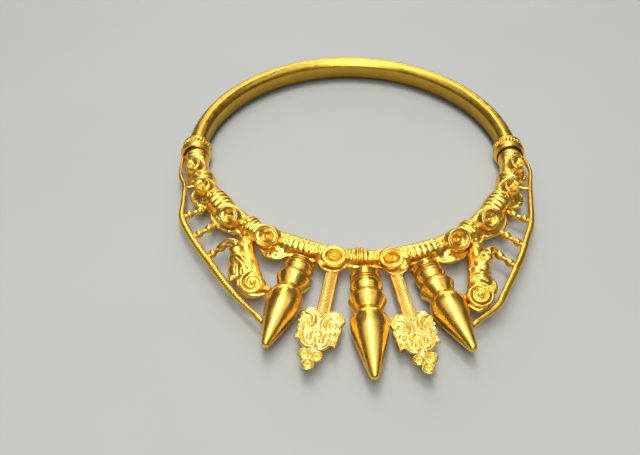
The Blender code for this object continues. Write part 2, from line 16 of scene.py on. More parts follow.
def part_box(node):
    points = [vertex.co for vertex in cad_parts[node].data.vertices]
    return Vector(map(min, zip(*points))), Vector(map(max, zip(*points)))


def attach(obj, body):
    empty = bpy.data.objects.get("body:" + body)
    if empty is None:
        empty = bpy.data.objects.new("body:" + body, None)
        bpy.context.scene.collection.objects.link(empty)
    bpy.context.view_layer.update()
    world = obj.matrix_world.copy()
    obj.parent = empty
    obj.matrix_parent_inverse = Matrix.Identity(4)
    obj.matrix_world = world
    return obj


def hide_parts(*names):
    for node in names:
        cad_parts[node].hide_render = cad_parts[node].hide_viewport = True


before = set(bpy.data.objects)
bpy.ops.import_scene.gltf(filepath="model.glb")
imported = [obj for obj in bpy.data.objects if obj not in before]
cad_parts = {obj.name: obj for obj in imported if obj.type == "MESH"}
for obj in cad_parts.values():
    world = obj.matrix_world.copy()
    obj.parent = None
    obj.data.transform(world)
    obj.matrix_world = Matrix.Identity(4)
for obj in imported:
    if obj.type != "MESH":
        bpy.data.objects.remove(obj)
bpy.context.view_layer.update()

MM = 0.001
UP = np.array((0.0, 0.0, 1.0))

# Ring as a whole
RING_RADIUS = 75.9 * MM
ARC_SKEW = 1.2 * MM
ARC_SAG = 2.5 * MM             # how far the front of the arc is drawn outward
ARC_SAG_ANGLE = 12.0
ARC_SAG_SPREAD = 45.0
COLLAR_RADIUS = 7.4 * MM
COLLAR_LENGTH = 8.6 * MM
FLAT_DEPTH = 0.25 * MM
BELLY_REACH = 112.1 * MM       # where the centre drop rests
CENTRE_BELLY = 7.5 * MM
JOINT_GAP = 0.3 * MM

# Camera of the photograph, from the centre of the ring
CAMERA_PLACE = (-15.83 * MM, -298.83 * MM, 217.0 * MM)
CAMERA_PITCH = 42.0            # degrees down
CAMERA_LENS = 42.19
SENSOR_WIDTH = 36.0


def ring_matrix():
    """Place of the ring's own frame: its centre between the collars, tilted onto its rests."""
    left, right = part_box("left_collar"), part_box("right_collar")
    centre = Vector((
        (left[0].x + right[1].x) / 2, (left[0].y + left[1].y) / 2, COLLAR_RADIUS - FLAT_DEPTH))
    tilt = -math.atan((CENTRE_BELLY - COLLAR_RADIUS) / BELLY_REACH)
    return Matrix.Translation(centre) @ Matrix.Rotation(tilt, 4, "X")


RING = ring_matrix()
RING_TURN = np.array(RING.to_3x3())
RING_PLACE = np.array(RING.to_translation())


# Small helpers for arrays of points
def to_row(points):
    """Points of the ring's frame in the row frame; nothing reaches below the ground."""
    placed = points @ RING_TURN.T + RING_PLACE
    placed[..., 2] = np.maximum(placed[..., 2], 0.0)
    return placed


def polar(angle, reach, height=0.0):
    """Points by angle in degrees, reach and height."""
    turn = np.radians(angle)
    return np.stack(np.broadcast_arrays(reach * np.sin(turn), -reach * np.cos(turn), height), -1)


def outward(angle):
    """The horizontal direction out of the ring."""
    return polar(angle, 1.0)


def unit(vectors):
    """Directions at length 1."""
    return vectors / np.linalg.norm(vectors, axis=-1, keepdims=True)


def full_turn(sides):
    """Angles of the corners of a ring, in radians."""
    return 2 * math.pi * np.arange(sides) / sides


def bump(distance, width):
    """A soft bump: 1 in the middle, fading over its width."""
    return np.exp(-(distance / width) ** 2)


def dome(distance, radius, power=0.5):
    """A dome: 1 in the middle, 0 from its radius on; round at power 0.5, sharper above."""
    return np.clip(1 - (distance / radius) ** 2, 0.0, 1.0) ** power


def smooth_step(value, low, high):
    """0 below low, 1 above high, smooth between."""
    t = np.clip((value - low) / (high - low), 0.0, 1.0)
    return t * t * (3 - 2 * t)


def stretch(value, rise, fall):
    """1 between two smooth steps, each given as its start and end, and 0 beyond them."""
    return smooth_step(value, *rise) * (1 - smooth_step(value, *fall))


def spread(pairs, at):
    """Smooth interpolation through pairs of place and value (cubic Hermite, limited slopes)."""
    knots, values = np.array(pairs, float).T
    steps = np.diff(knots)
    slopes = np.diff(values) / steps
    tangents = np.zeros_like(values)
    tangents[1:-1] = np.where(
        slopes[1:] * slopes[:-1] > 0,
        2 * slopes[1:] * slopes[:-1] / (slopes[1:] + slopes[:-1] + 1e-12), 0.0)
    tangents[0], tangents[-1] = slopes[0], slopes[-1]
    at = np.clip(np.asarray(at, float), knots[0], knots[-1])
    index = np.clip(np.searchsorted(knots, at, side="right") - 1, 0, len(steps) - 1)
    h = steps[index]
    t = (at - knots[index]) / h
    return (
        values[index] * (1 + 2 * t) * (1 - t) ** 2 + h * tangents[index] * t * (1 - t) ** 2
        + values[index + 1] * t * t * (3 - 2 * t) + h * tangents[index + 1] * t * t * (t - 1)
    )


def ripple(points, size, seed, waves=9):
    """A smooth uneven field between about -1 and 1, of waves of about the given size."""
    chance = np.random.default_rng(seed)
    total = np.zeros(points.shape[:-1])
    for _ in range(waves):
        direction = unit(chance.normal(size=3))
        length = size * chance.uniform(0.7, 1.6)
        total += np.sin(points @ direction * (2 * math.pi / length) + chance.uniform(0, 6.28))
    return total / math.sqrt(waves) * 0.8


def curve_through(points, steps):
    """Catmull-Rom curve through the given points."""
    points = [np.asarray(point, float) for point in points]
    ends = [2 * points[0] - points[1]] + points + [2 * points[-1] - points[-2]]
    path = []
    for index in range(1, len(ends) - 2):
        before, start, end, after = ends[index - 1:index + 3]
        for step in range(steps):
            t = step / steps
            path.append(0.5 * (
                2 * start + (end - before) * t
                + (2 * before - 5 * start + 4 * end - after) * t ** 2
                + (3 * start - before - 3 * end + after) * t ** 3
            ))
    path.append(points[-1])
    return np.array(path)


# Mesh makers
def linked(name, data):
    """A new object of the scene."""
    item = bpy.data.objects.new(name, data)
    bpy.context.scene.collection.objects.link(item)
    return item


def mesh_object(name, points, faces):
    """An object with its own mesh, all faces looking outward."""
    mesh = bpy.data.meshes.new(name)
    mesh.from_pydata(points.tolist(), [], faces)
    mesh.validate()
    builder = bmesh.new()
    builder.from_mesh(mesh)
    bmesh.ops.recalc_face_normals(builder, faces=builder.faces)
    builder.to_mesh(mesh)
    builder.free()
    return linked(name, mesh)


def as_piece(name, points, faces, slot, nodes=()):
    """A smooth gold piece from row-frame points, riding on the root body."""
    piece = mesh_object(name, points, faces)
    piece.data.shade_smooth()
    piece.data.materials.append(GOLD[slot])
    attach(piece, "root")
    if nodes:
        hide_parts(*nodes)


def tube_faces(count, sides, start=0):
    """Faces of a tube of count rings of points, closed at both ends by fans."""
    rows = np.arange(count - 1)[:, None] * sides
    columns = np.arange(sides)[None, :]
    following = (columns + 1) % sides
    quads = np.stack(np.broadcast_arrays(
        rows + columns, rows + following, rows + sides + following, rows + sides + columns), -1)
    faces = (quads.reshape(-1, 4) + start).tolist()
    last = (count - 1) * sides + start
    first_tip, last_tip = start + count * sides, start + count * sides + 1
    for k in range(sides):
        after = (k + 1) % sides
        faces.append([start + after, start + k, first_tip])
        faces.append([last + k, last + after, last_tip])
    return faces


def tube_points(grid):
    """Points of a tube with a middle point added for each end."""
    return np.concatenate([grid.reshape(-1, 3), [grid[0].mean(0)], [grid[-1].mean(0)]])


def tube(name, grid, slot, nodes=()):
    """A closed tube from a grid of ring-frame points."""
    as_piece(name, to_row(tube_points(grid)), tube_faces(*grid.shape[:2]), slot, nodes)


def normals_of(grid):
    """Unit normals of a grid that is closed around its second direction."""
    along = np.gradient(grid, axis=0)
    around = np.roll(grid, -1, axis=1) - np.roll(grid, 1, axis=1)
    normal = np.cross(around, along)
    normal /= np.linalg.norm(normal, axis=-1, keepdims=True) + 1e-12
    middle = grid.mean(axis=1, keepdims=True)
    facing = np.sum(normal * (grid - middle), axis=-1, keepdims=True).mean()
    return normal * (1 if facing > 0 else -1)


def raised(grid, relief):
    """A closed grid moved out along its normals."""
    return grid + normals_of(grid) * relief[..., None]


def turned_grid(along, radius, base, axis, sides, relief=None):
    """Grid of a turned form that lies level; relief(along, turn) is added to the radius."""
    axis = unit(np.asarray(axis, float))
    across = unit(np.cross(axis, UP))
    third = np.cross(across, axis)
    turn = full_turn(sides)
    along = np.asarray(along, float)[:, None]
    radius = np.broadcast_to(np.asarray(radius, float)[:, None], (len(along), sides))
    if relief is not None:
        radius = radius + relief(along, turn[None, :])
    circle = across * np.cos(turn)[:, None] + third * np.sin(turn)[:, None]
    return base + along[..., None] * axis + radius[:, :, None] * circle[None, :, :]


# Gold finishes. Scales of the noises are per metre
TONE_SCALE = 95.0
POLISH_SCALE = 260.0
SCRATCH_SCALE = 1300.0
SCRATCH_STRETCH = (1.0, 9.0, 3.0)
DENT_SCALE = 420.0
GRAIN_SCALE = 5200.0
BUMP_STRENGTH = 0.25
SHEEN = (1.0, 0.93, 0.66, 1.0)
# Of the painted shade: samples of its occlusion, the span of openness over which it fades, and the
# roughness it adds
RECESS_SAMPLES = 6
RECESS_SPAN = 0.5
RECESS_DULLNESS = 0.16         # added roughness
WORN_SHARE = 0.88              # of the bright colour, where it is worn


def fill(tree, node, inputs):
    """Set a node's inputs to constants, or link them to other nodes' outputs."""
    for key, value in inputs.items():
        if isinstance(value, bpy.types.NodeSocket):
            tree.links.new(value, node.inputs[key])
        else:
            node.inputs[key].default_value = value
    return node


def new_material(name):
    """A material with its node tree and main shader."""
    material = bpy.data.materials.new(name)
    material.use_nodes = True
    return material, material.node_tree, material.node_tree.nodes["Principled BSDF"]


def blended(tree, amount, first, second):
    """A mix of two colours."""
    mixer = tree.nodes.new("ShaderNodeMix")
    mixer.data_type = "RGBA"
    return fill(tree, mixer, {"Factor": amount, 6: first, 7: second}).outputs[2]


def gold(name, bright, dark, roughness, grain, hammer, painted_shade_strength, reach, open_from):
    """Gold with painted shade in its recesses and near the floor, uneven polish, fine scratches and soft
    dents.
    """
    material, tree, shader = new_material(name)
    shader.inputs["Metallic"].default_value = 1.0
    shader.inputs["Specular Tint"].default_value = SHEEN

    def add(kind, inputs):
        return fill(tree, tree.nodes.new(kind), inputs)

    place = add("ShaderNodeTexCoord", {}).outputs["Object"]

    def noise(scale, detail, rough=0.55, vector=place):
        return add("ShaderNodeTexNoise", {
            "Scale": scale, "Detail": detail, "Roughness": rough, "Vector": vector}).outputs["Fac"]

    def ramp(value, low, high, start=0.0, end=1.0):
        spreader = add("ShaderNodeMapRange", {})
        spreader.interpolation_type = "SMOOTHSTEP"
        return fill(tree, spreader, {
            "From Min": low, "From Max": high, "To Min": start, "To Max": end, "Value": value,
        }).outputs["Result"]

    def maths(operation, first, second):
        node = add("ShaderNodeMath", {0: first, 1: second})
        node.operation = operation
        return node.outputs[0]

    # Painted shade: ambient occlusion turns the colour towards the dark one, and dulls it, in recesses,
    # between parts and near the floor
    hollow = add("ShaderNodeAmbientOcclusion", {"Distance": reach})
    hollow.samples = RECESS_SAMPLES
    painted_shade = ramp(hollow.outputs["AO"], open_from - RECESS_SPAN, open_from, painted_shade_strength, 0.0)
    worn = [WORN_SHARE * b + (1 - WORN_SHARE) * d for b, d in zip(bright, dark)]
    tone = blended(tree, ramp(noise(TONE_SCALE, 4.0), 0.38, 0.66), (*bright, 1.0), (*worn, 1.0))
    colour = blended(tree, painted_shade, tone, (*dark, 1.0))

    polish = ramp(noise(POLISH_SCALE, 3.0), 0.3, 0.72, roughness - 0.04, roughness + 0.05)
    stretched = add("ShaderNodeMapping", {"Scale": SCRATCH_STRETCH, "Vector": place})
    scratches = noise(SCRATCH_SCALE, 2.0, 0.6, stretched.outputs["Vector"])
    polish = maths("ADD", polish, ramp(scratches, 0.35, 0.75, -0.03, 0.06))
    polish = maths("ADD", polish, maths("MULTIPLY", painted_shade, RECESS_DULLNESS))

    dents = add("ShaderNodeBump", {
        "Strength": BUMP_STRENGTH, "Distance": hammer, "Height": noise(DENT_SCALE, 2.0, 0.45)})
    fine = add("ShaderNodeBump", {
        "Strength": BUMP_STRENGTH, "Distance": grain, "Height": noise(GRAIN_SCALE, 3.0, 0.7),
        "Normal": dents.outputs["Normal"]})
    fill(tree, shader, {"Base Color": colour, "Roughness": polish, "Normal": fine.outputs["Normal"]})
    return material


# Bright colour, the dark colour that the painted shade turns to (a little of it also tints the worn
# tone), roughness, depth of grain and of hammer marks, strength of the painted shade, and the reach over
# which a recess or the floor near by casts painted shade and the openness at which the painted shade
# ends
GOLD_LOOKS = {
    # Darker gold than the other pieces, as painted shade, and painted shade that reaches 12 mm so that
    # the floor darkens the hoop's lower, inner side
    "hoop_gold": (
        (0.74, 0.445, 0.062), (0.13, 0.065, 0.008), 0.31, 0.06 * MM, 0.1 * MM, 0.95, 12.0 * MM, 1.06),
    "worked_gold": (
        (1.0, 0.64, 0.12), (0.42, 0.165, 0.013), 0.31, 0.01 * MM, 0.02 * MM, 0.74, 1.8 * MM, 0.8),
    # Painted shade that reaches 5 mm, so that the floor darkens the sides of the buds near it
    "drop_gold": (
        (0.99, 0.61, 0.105), (0.48, 0.175, 0.01), 0.28, 0.05 * MM, 0.02 * MM, 0.8, 5.0 * MM, 0.92),
    "palmette_gold": (
        (1.0, 0.75, 0.23), (0.5, 0.21, 0.018), 0.32, 0.02 * MM, 0.02 * MM, 0.88, 0.5 * MM, 0.86),
    "rail_gold": (
        (0.98, 0.6, 0.09), (0.46, 0.18, 0.012), 0.33, 0.02 * MM, 0.03 * MM, 0.8, 2.5 * MM, 0.86),
}
GOLD = {slot: gold(slot, *look) for slot, look in GOLD_LOOKS.items()}


# Rear hoop
HOOP_WIDTH = 10.2 * MM
HOOP_HEIGHT = 12.0 * MM
HOOP_BOW = 1.4 * MM
HOOP_END_SHARE = 0.9
HOOP_FLAT_SHARE = 0.86
HOOP_LAP = 2.4                 # degrees that the hoop runs on into its collars
HOOP_LAP_SHARE = 0.86          # its size there, as a share of that beside the collars
HOOP_STEPS = 380
HOOP_SIDES = 64
DENT_LENGTH_MM = 1.5
DENT_GIRTH_MM = 2.1
# Angle, turn around the hoop in degrees and depth in millimetres of each hammer mark
HOOP_DENTS = ((104.0, 60.0, 0.35), (109.0, 35.0, 0.3), (113.5, 75.0, 0.22), (-118.0, 50.0, 0.2))


def hoop_piece():
    """The plain back half: round outside and above, flat inside, with soft hammer marks."""
    half_angle = math.degrees(math.asin(
        (COLLAR_LENGTH / 2 + JOINT_GAP) / (RING_RADIUS - HOOP_WIDTH / 2)))
    start = 90 + half_angle - HOOP_LAP
    angle = start + (360 - 2 * start) * np.linspace(0.0, 1.0, HOOP_STEPS)[:, None]
    inner = np.clip((angle - 90 - half_angle) / (180 - 2 * half_angle), 0.0, 1.0)
    swell = HOOP_END_SHARE + (1 - HOOP_END_SHARE) * np.sin(math.pi * inner) ** 0.7
    hidden = (angle < 90 + half_angle) | (angle > 270 - half_angle)
    swell = swell * np.where(hidden, HOOP_LAP_SHARE, 1.0)
    turn = full_turn(HOOP_SIDES)[None, :]
    out = np.cos(turn)
    flat = -HOOP_FLAT_SHARE
    sunk = np.where(out < flat, flat + 0.1 * (out - flat), out)
    reach = RING_RADIUS + HOOP_BOW * np.cos(np.radians(angle)) ** 4
    points = polar(
        angle, reach + swell * HOOP_WIDTH / 2 * sunk, swell * HOOP_HEIGHT / 2 * np.sin(turn))
    relief = 0.05 * MM * ripple(points, 22 * MM, 3) + 0.008 * MM * ripple(points, 5 * MM, 4)
    for place, around, depth in HOOP_DENTS:
        spot = ((angle - place) % 360 + 180) % 360 - 180
        length = np.radians(spot) * RING_RADIUS / MM
        girth = np.radians((np.degrees(turn) - around + 180) % 360 - 180) * 5.5
        relief = relief - depth * MM * bump(length, DENT_LENGTH_MM) * bump(girth, DENT_GIRTH_MM)
    tube("hoop", raised(points, relief), "hoop_gold", ("rear_hoop",))


# Collars
TOOTH_COUNT = 26
SLEEVE_START = -3.4 * MM       # the sleeve's ends, from the middle of the solid collar towards the arc
SLEEVE_END = 6.4 * MM
SLEEVE_STEPS = 150
SLEEVE_SIDES = 182
BORE_RADII = {-1: 5.7 * MM, 1: 6.05 * MM}
# Place from the back, -1, to the mouth, 1, and radius as a share of the collar's
SLEEVE_SHAPE = (
    (-1, 0.7), (-0.96, 0.76), (-0.8, 0.85), (-0.62, 0.91), (-0.46, 0.95), (-0.4, 0.94),
    (-0.36, 0.9), (-0.3, 0.91), (0, 0.94), (0.28, 0.955), (0.33, 0.945), (0.38, 0.985),
    (0.45, 1), (0.58, 1), (0.7, 0.985), (0.76, 0.95), (0.8, 0.92), (0.84, 0.935),
    (0.9, 0.94), (0.95, 0.92), (1, 0.88),
)


def collar_piece(side):
    """Ringed sleeve: hooded back, a band of teeth, a swelling ring and an open mouth."""
    name = "left_collar" if side < 0 else "right_collar"
    half = (SLEEVE_END - SLEEVE_START) / 2
    bore = BORE_RADII[side]
    outside = np.linspace(-1.0, 1.0, SLEEVE_STEPS)
    inside = (1.0, 0.985, 0.9, 0.55, 0.3)
    along = np.concatenate([outside, inside]) * half
    sizes = np.concatenate([
        spread(SLEEVE_SHAPE, outside) * COLLAR_RADIUS,
        (bore + 0.25 * MM, bore + 0.05 * MM, bore, bore, bore),
    ])
    worked = (np.arange(len(along)) < SLEEVE_STEPS)[:, None]

    def relief(place, turn):
        share = place / half
        band = stretch(share, (-0.38, -0.28), (0.24, 0.32)) * worked
        wave = np.abs(((turn * TOOTH_COUNT / (2 * math.pi) + 0.8 * share) % 1.0) * 2 - 1)
        lean = 0.34 + 0.4 * share
        tooth = smooth_step(wave - lean, -0.22, 0.22)
        return band * (tooth - 0.88) * MM + 0.03 * MM * np.sin(turn * 3 + share * 4)

    middle = np.array((0.0, -(SLEEVE_END + SLEEVE_START) / 2, 0.0))
    grid = turned_grid(
        along, sizes, polar(90.0 * side, RING_RADIUS) + middle, (0.0, -1.0, 0.0), SLEEVE_SIDES, relief)
    tube(name + "_sleeve", grid, "worked_gold", (name,))


# Front arc
CORE_RADIUS = 5.25 * MM
CORE_SLIMMING = 0.6 * MM
TENON_RADIUS = 4.5 * MM
TENON_LENGTH = 3.0 * MM
SEAM_PROUD = 0.5 * MM
EDGE_SHARE = 0.985
RIM_RADIUS = 0.68 * MM

# Middle angle, half width in degrees and depth in millimetres of each scallop of the rim
FLANGE_LOBES = (
    (-73.6, 3.8, 0.8), (-61, 4.4, 3.8), (-46.4, 6.4, 3.4), (-36.2, 2.6, 2.2), (-26, 5.2, 5),
    (-7.6, 4, 3.9), (10.2, 3.5, 4.6), (28, 6.2, 4.7), (36.8, 3, 3), (46, 6.4, 4.2),
    (61, 4.4, 3.6), (74, 3.8, 1.8),
)

# Angle, half width in degrees and height in millimetres of each ring around one half of the arc
HALF_RINGS = (
    (12.9, 0.5, 0.25), (14.4, 0.75, 0.42), (16.2, 0.78, 0.5), (18, 0.78, 0.52),
    (19.8, 0.78, 0.48), (21.6, 0.76, 0.42), (23.4, 0.7, 0.34),
    (36.3, 0.42, 0.35), (37.4, 0.48, 0.85), (38.6, 0.48, 0.8), (39.7, 0.4, 0.32),
    (50.9, 0.62, 0.55), (52.9, 0.8, 0.85), (55.1, 0.85, 0.95), (57.3, 0.72, 0.75), (58.8, 0.42, 0.38),
    (67.4, 0.45, 0.4), (69.2, 0.85, 1.1), (71, 0.45, 0.4), (81.6, 0.55, 0.55), (83.4, 0.55, 0.6),
)
MIDDLE_RINGS = ((-1.6, 0.4, 0.35), (-0.4, 0.44, 0.95), (0.9, 0.44, 1.05), (2.2, 0.42, 0.45))
# Angle and half width in degrees of each stretch where the tube is drawn in, and how far in mm
HALF_WAISTS = (
    (4, 2.4, 0.3), (34.6, 2.2, 0.42), (40.8, 1.8, 0.4), (66, 2, 0.35), (72.6, 1.8, 0.3))

# Angle of each boss, its size as a share of the common one, and how far it is sunk in, in mm
BOSSES = (
    (-74.6, 0.98, 0.45), (-62.4, 1, 0.45), (-44.6, 1.1, 0.4), (-29.2, 1.24, 0.42),
    (-7.2, 1.1, 0), (9.2, 1.1, 0),
    (30.9, 1.26, 0.46), (44.6, 1.12, 0.42), (62.6, 1, 0.45), (75.6, 0.98, 0.45),
)
BOSS_SQUASH = 0.82             # radius across the arc, as a share of that along it
BOSS_TILT = 52.0
SIDE_BOSS_TILT = 70.0
SIDE_BOSSES_FROM = 55.0
MIDDLE_BOSSES_TO = 12.0
BOSS_STEPS = 44
BOSS_SIDES = 96
# Leaves beside each boss: place along the arc and down from its top, half sizes and height in mm
BOSS_LEAVES = ((5.6, 3.3, 1.45, 1.3, 0.95), (5.2, 6.1, 1.3, 1.05, 0.7))

ARC_COUNT = 940
SKIRT_TOP = 50.0               # turn at which the skirt leaves the core above
SKIRT_FOOT = -46.0             # and below
BROW_SPAN = 86.0               # turn past the skirt's top over which the core is worked
UPPER_POINTS = 36
RIM_POINTS = 8
LOWER_POINTS = 6
CORE_POINTS = 54
CORE_TOP_POINTS = 34           # of these, on the worked top


def arc_reach(angle):
    """Reach of the middle of the arc."""
    share = np.minimum(1.0, np.abs(angle - ARC_SAG_ANGLE) / ARC_SAG_SPREAD)
    sag = ARC_SAG * np.cos(math.pi / 2 * share) ** 2
    return RING_RADIUS + ARC_SKEW * np.sin(2 * np.radians(angle)) + sag


def core_radius(angle):
    """Radius of the plain core."""
    return CORE_RADIUS - CORE_SLIMMING * np.maximum(0.0, np.cos(2 * np.radians(angle)))


def flange_depth(angle):
    """How far the scalloped rim stands out of the core."""
    angle = np.asarray(angle, float)
    depth = np.full(angle.shape, SEAM_PROUD)
    for middle, half_width, lobe in FLANGE_LOBES:
        share = np.clip(np.abs(angle - middle) / half_width, 0.0, 1.0)
        depth = np.maximum(depth, SEAM_PROUD + lobe * MM * np.cos(math.pi / 2 * share) ** 0.6)
    return depth


def arc_edge(angle):
    """Reach of the rim at an angle."""
    return float(arc_reach(angle) + EDGE_SHARE * core_radius(angle) + flange_depth(angle))


def tenon_angle():
    """Angle at which the tenons start."""
    return math.degrees(math.acos((COLLAR_LENGTH / 2 + JOINT_GAP) / (RING_RADIUS - CORE_RADIUS)))


def bezier(start, first, second, end, count):
    """Points of a cubic curve for whole columns of control points, without its last point."""
    t = (np.arange(count) / count)[None, :, None]
    return (
        start[:, None] * (1 - t) ** 3 + 3 * first[:, None] * t * (1 - t) ** 2
        + 3 * second[:, None] * t * t * (1 - t) + end[:, None] * t ** 3
    )


def arc_section(angle):
    """Section of the arc at each angle, as out and up from its middle line."""
    depth = flange_depth(angle)
    depth = np.convolve(np.pad(depth, 5, mode="edge"), np.ones(11) / 11, mode="valid")
    radius = core_radius(angle)
    for place, half_width, inward in HALF_WAISTS:
        radius = radius - inward * MM * bump(np.abs(angle) - place, half_width)
    plug = smooth_step(np.abs(angle), tenon_angle() - 0.1, tenon_angle() + 0.35)
    radius = radius + (TENON_RADIUS - radius) * plug
    depth = depth * (1 - plug)
    edge = EDGE_SHARE * radius + depth - RIM_RADIUS
    skirt = np.clip(depth / (3.0 * MM), 0.0, 1.0)

    def pair(out, up):
        return np.stack(np.broadcast_arrays(out, up), -1)

    def on_circle(size, turn):
        return pair(size * np.cos(np.radians(turn)), size * np.sin(np.radians(turn)))

    upper, foot = on_circle(radius, SKIRT_TOP), on_circle(radius, SKIRT_FOOT)
    rim_top, rim_foot = pair(edge, RIM_RADIUS), pair(edge, -RIM_RADIUS)
    fall = on_circle(1.0, SKIRT_TOP - 90)
    span = np.linalg.norm(rim_top - upper, axis=-1)[:, None]
    full = skirt[:, None]
    first = upper + span * 0.42 * (fall * (1 - 0.3 * full) + np.array((0.0, -0.3)) * full)
    second = rim_top + pair(
        -0.42 * span[:, 0], -0.55 * MM * skirt - 0.1 * RIM_RADIUS * (1 - skirt))
    top_side = bezier(upper, first, second, rim_top, UPPER_POINTS)
    round_rim = on_circle(RIM_RADIUS, np.linspace(90, -90, RIM_POINTS, endpoint=False))
    round_rim = round_rim + pair(edge, 0.0)[:, None]
    low_side = bezier(
        rim_foot, rim_foot + np.array((-1.0, 0.05)) * span * 0.4,
        foot + np.array((0.55, 0.45)) * span * 0.35, foot, LOWER_POINTS)
    brow = SKIRT_TOP - 360 + BROW_SPAN
    turns = np.concatenate([
        np.linspace(SKIRT_FOOT, brow, CORE_POINTS - CORE_TOP_POINTS, endpoint=False),
        np.linspace(brow, SKIRT_TOP - 360, CORE_TOP_POINTS, endpoint=False)])
    section = np.concatenate(
        [top_side, round_rim, low_side, on_circle(radius[:, None], turns)], axis=1)
    turn = np.concatenate([
        np.linspace(SKIRT_TOP, 0.0, UPPER_POINTS, endpoint=False), np.zeros(RIM_POINTS),
        np.linspace(0.0, SKIRT_FOOT, LOWER_POINTS, endpoint=False), turns,
    ])
    return section, turn


def boss_tilt(boss):
    """How steeply a boss faces up; those near the collars face up most."""
    return SIDE_BOSS_TILT if abs(boss) > SIDE_BOSSES_FROM else BOSS_TILT


def ring_height(angle):
    """Height of the rings around the tube, in millimetres."""
    height = np.zeros(angle.shape)
    rings = [(side * place, *sizes) for place, *sizes in HALF_RINGS for side in (-1, 1)]
    for place, half_width, rise in rings + list(MIDDLE_RINGS):
        height = np.maximum(height, rise * dome(angle - place, 1.7 * half_width, 1.2))
    return height


def arc_relief(angle, section, turn):
    """Relief of the arc in millimetres: rings, and curls and leaves beside the bosses."""
    steps = np.linalg.norm(np.diff(section, axis=1), axis=-1) / MM
    down = np.concatenate([np.zeros((len(angle), 1)), np.cumsum(steps, axis=1)], axis=1)
    over = (turn[None, :] % 360 - SKIRT_TOP) * math.pi / 180 * CORE_RADIUS / MM
    on_core = np.arange(len(turn)) >= UPPER_POINTS + RIM_POINTS + LOWER_POINTS
    beside = np.where(on_core[None, :], -over, down)
    top = np.where(on_core, smooth_step(np.sin(np.radians(turn)), -0.75, -0.35), 1.0)
    depth = flange_depth(angle)[:, None] / MM
    foot = 3.0 + 1.6 * np.clip(depth / 4.0, 0.0, 1.0)
    fade = np.where(on_core[None, :], top[None, :], 1 - smooth_step(down, foot - 1.2, foot + 0.8))
    height = ring_height(angle)[:, None] * fade
    skirt = np.clip(depth / 3.0, 0.0, 1.0) * (1 - on_core)[None, :]
    for boss, size, _ in BOSSES:
        hand = math.copysign(1.0, boss)
        along = np.radians(angle - boss)[:, None] * RING_RADIUS / MM
        x = along * (hand if abs(boss) < MIDDLE_BOSSES_TO else -hand)
        higher = math.radians(boss_tilt(boss) - BOSS_TILT) * CORE_RADIUS / MM
        near = np.hypot(along, (beside + higher) / BOSS_SQUASH) / size
        rings = 0.42 * bump(near - 5.8, 0.42) + 0.34 * bump(near - 7.1, 0.4)
        height = height * smooth_step(near, 4.6, 5.4)
        height = height + rings * (beside < 4.0) * smooth_step(-x, -2.0, 2.0)
        curl = np.hypot(x - 6.9 * size, (beside + 1.6) * 1.1)
        clear = smooth_step(curl, 1.6, 2.5)
        coil = 0.5 * bump(curl - 1.6, 0.52) + 0.5 * bump(curl, 0.7)
        height = height * clear + coil * (1 - clear)
        above_rim = 1 - smooth_step(beside, 7.4, 8.6)
        for place, down_to, length, width, rise in BOSS_LEAVES:
            leaf = rise * bump(x - place, length) * bump(beside - down_to, width)
            height = height + leaf * above_rim
        ridge = np.abs(x - 3.1 - 0.25 * (beside - 5.6))
        height = height + 0.25 * bump(ridge, 0.45) * bump(beside - 6.2, 1.5) * skirt
        height = height - 0.3 * bump(x + 0.6, 3.4) * bump(beside - 7.1, 0.9) * skirt
    return height


def arc_piece():
    """The worked tube with its rings and scalloped, rimmed skirt."""
    end = tenon_angle() + math.degrees(TENON_LENGTH / RING_RADIUS)
    angle = np.linspace(-end, end, ARC_COUNT)
    section, turn = arc_section(angle)
    height = arc_relief(angle, section, turn) * (np.abs(angle) < tenon_angle())[:, None]
    points = polar(angle[:, None], arc_reach(angle)[:, None] + section[..., 0], section[..., 1])
    height = height * MM + 0.04 * MM * ripple(points, 8 * MM, 11)
    tube("worked_arc", raised(points, height), "worked_gold", ("front_arc",))


def boss_height(distance, turn, hand):
    """Height of a spiral boss in millimetres over its foot."""
    coil = 3.45 - 0.45 * ((turn * hand / (2 * math.pi)) % 1.0)
    height = 0.42 + 1.36 * smooth_step(distance, 1.4, 3.0)
    height = height + 0.24 * bump(distance - 4.15, 0.4) + 0.3 * bump(distance - coil, 0.32)
    height = height + 1.25 * dome(distance, 1.15)
    fall = np.clip((distance - 4.35) / 0.95, 0.0, None)
    return height - 2.9 * fall ** 1.8


def boss_pieces():
    """The ten spiral bosses, coiled opposite ways left and right."""
    distance = np.linspace(0.0, 5.25, BOSS_STEPS)[1:, None]
    turn = full_turn(BOSS_SIDES)[None, :]
    faces = tube_faces(len(distance), BOSS_SIDES)
    for index, (angle, size, sunk) in enumerate(BOSSES):
        hand = 1 if angle > 0 else -1
        lift = math.radians(boss_tilt(angle))
        direction = outward(angle) * math.cos(lift) + UP * math.sin(lift)
        along = np.array((math.cos(math.radians(angle)), math.sin(math.radians(angle)), 0.0))
        third = np.cross(direction, along) * BOSS_SQUASH
        base = polar(angle, arc_reach(angle)) + direction * (core_radius(angle) - sunk * MM)
        height = boss_height(distance, turn + 0.7 * index, hand)
        grid = (
            base + (distance * np.cos(turn))[..., None] * along * size * MM
            + (distance * np.sin(turn))[..., None] * third * size * MM
            + height[..., None] * direction * MM
        )
        grid = grid + 0.03 * MM * ripple(grid, 4.5 * MM, 20 + index)[..., None] * direction
        tip = base + boss_height(0.0, 0.0, hand) * direction * MM
        foot = base - 2.6 * MM * direction
        points = np.concatenate([grid.reshape(-1, 3), [tip], [foot]])
        as_piece(f"spiral_boss_{index + 1}", to_row(points), faces, "worked_gold")


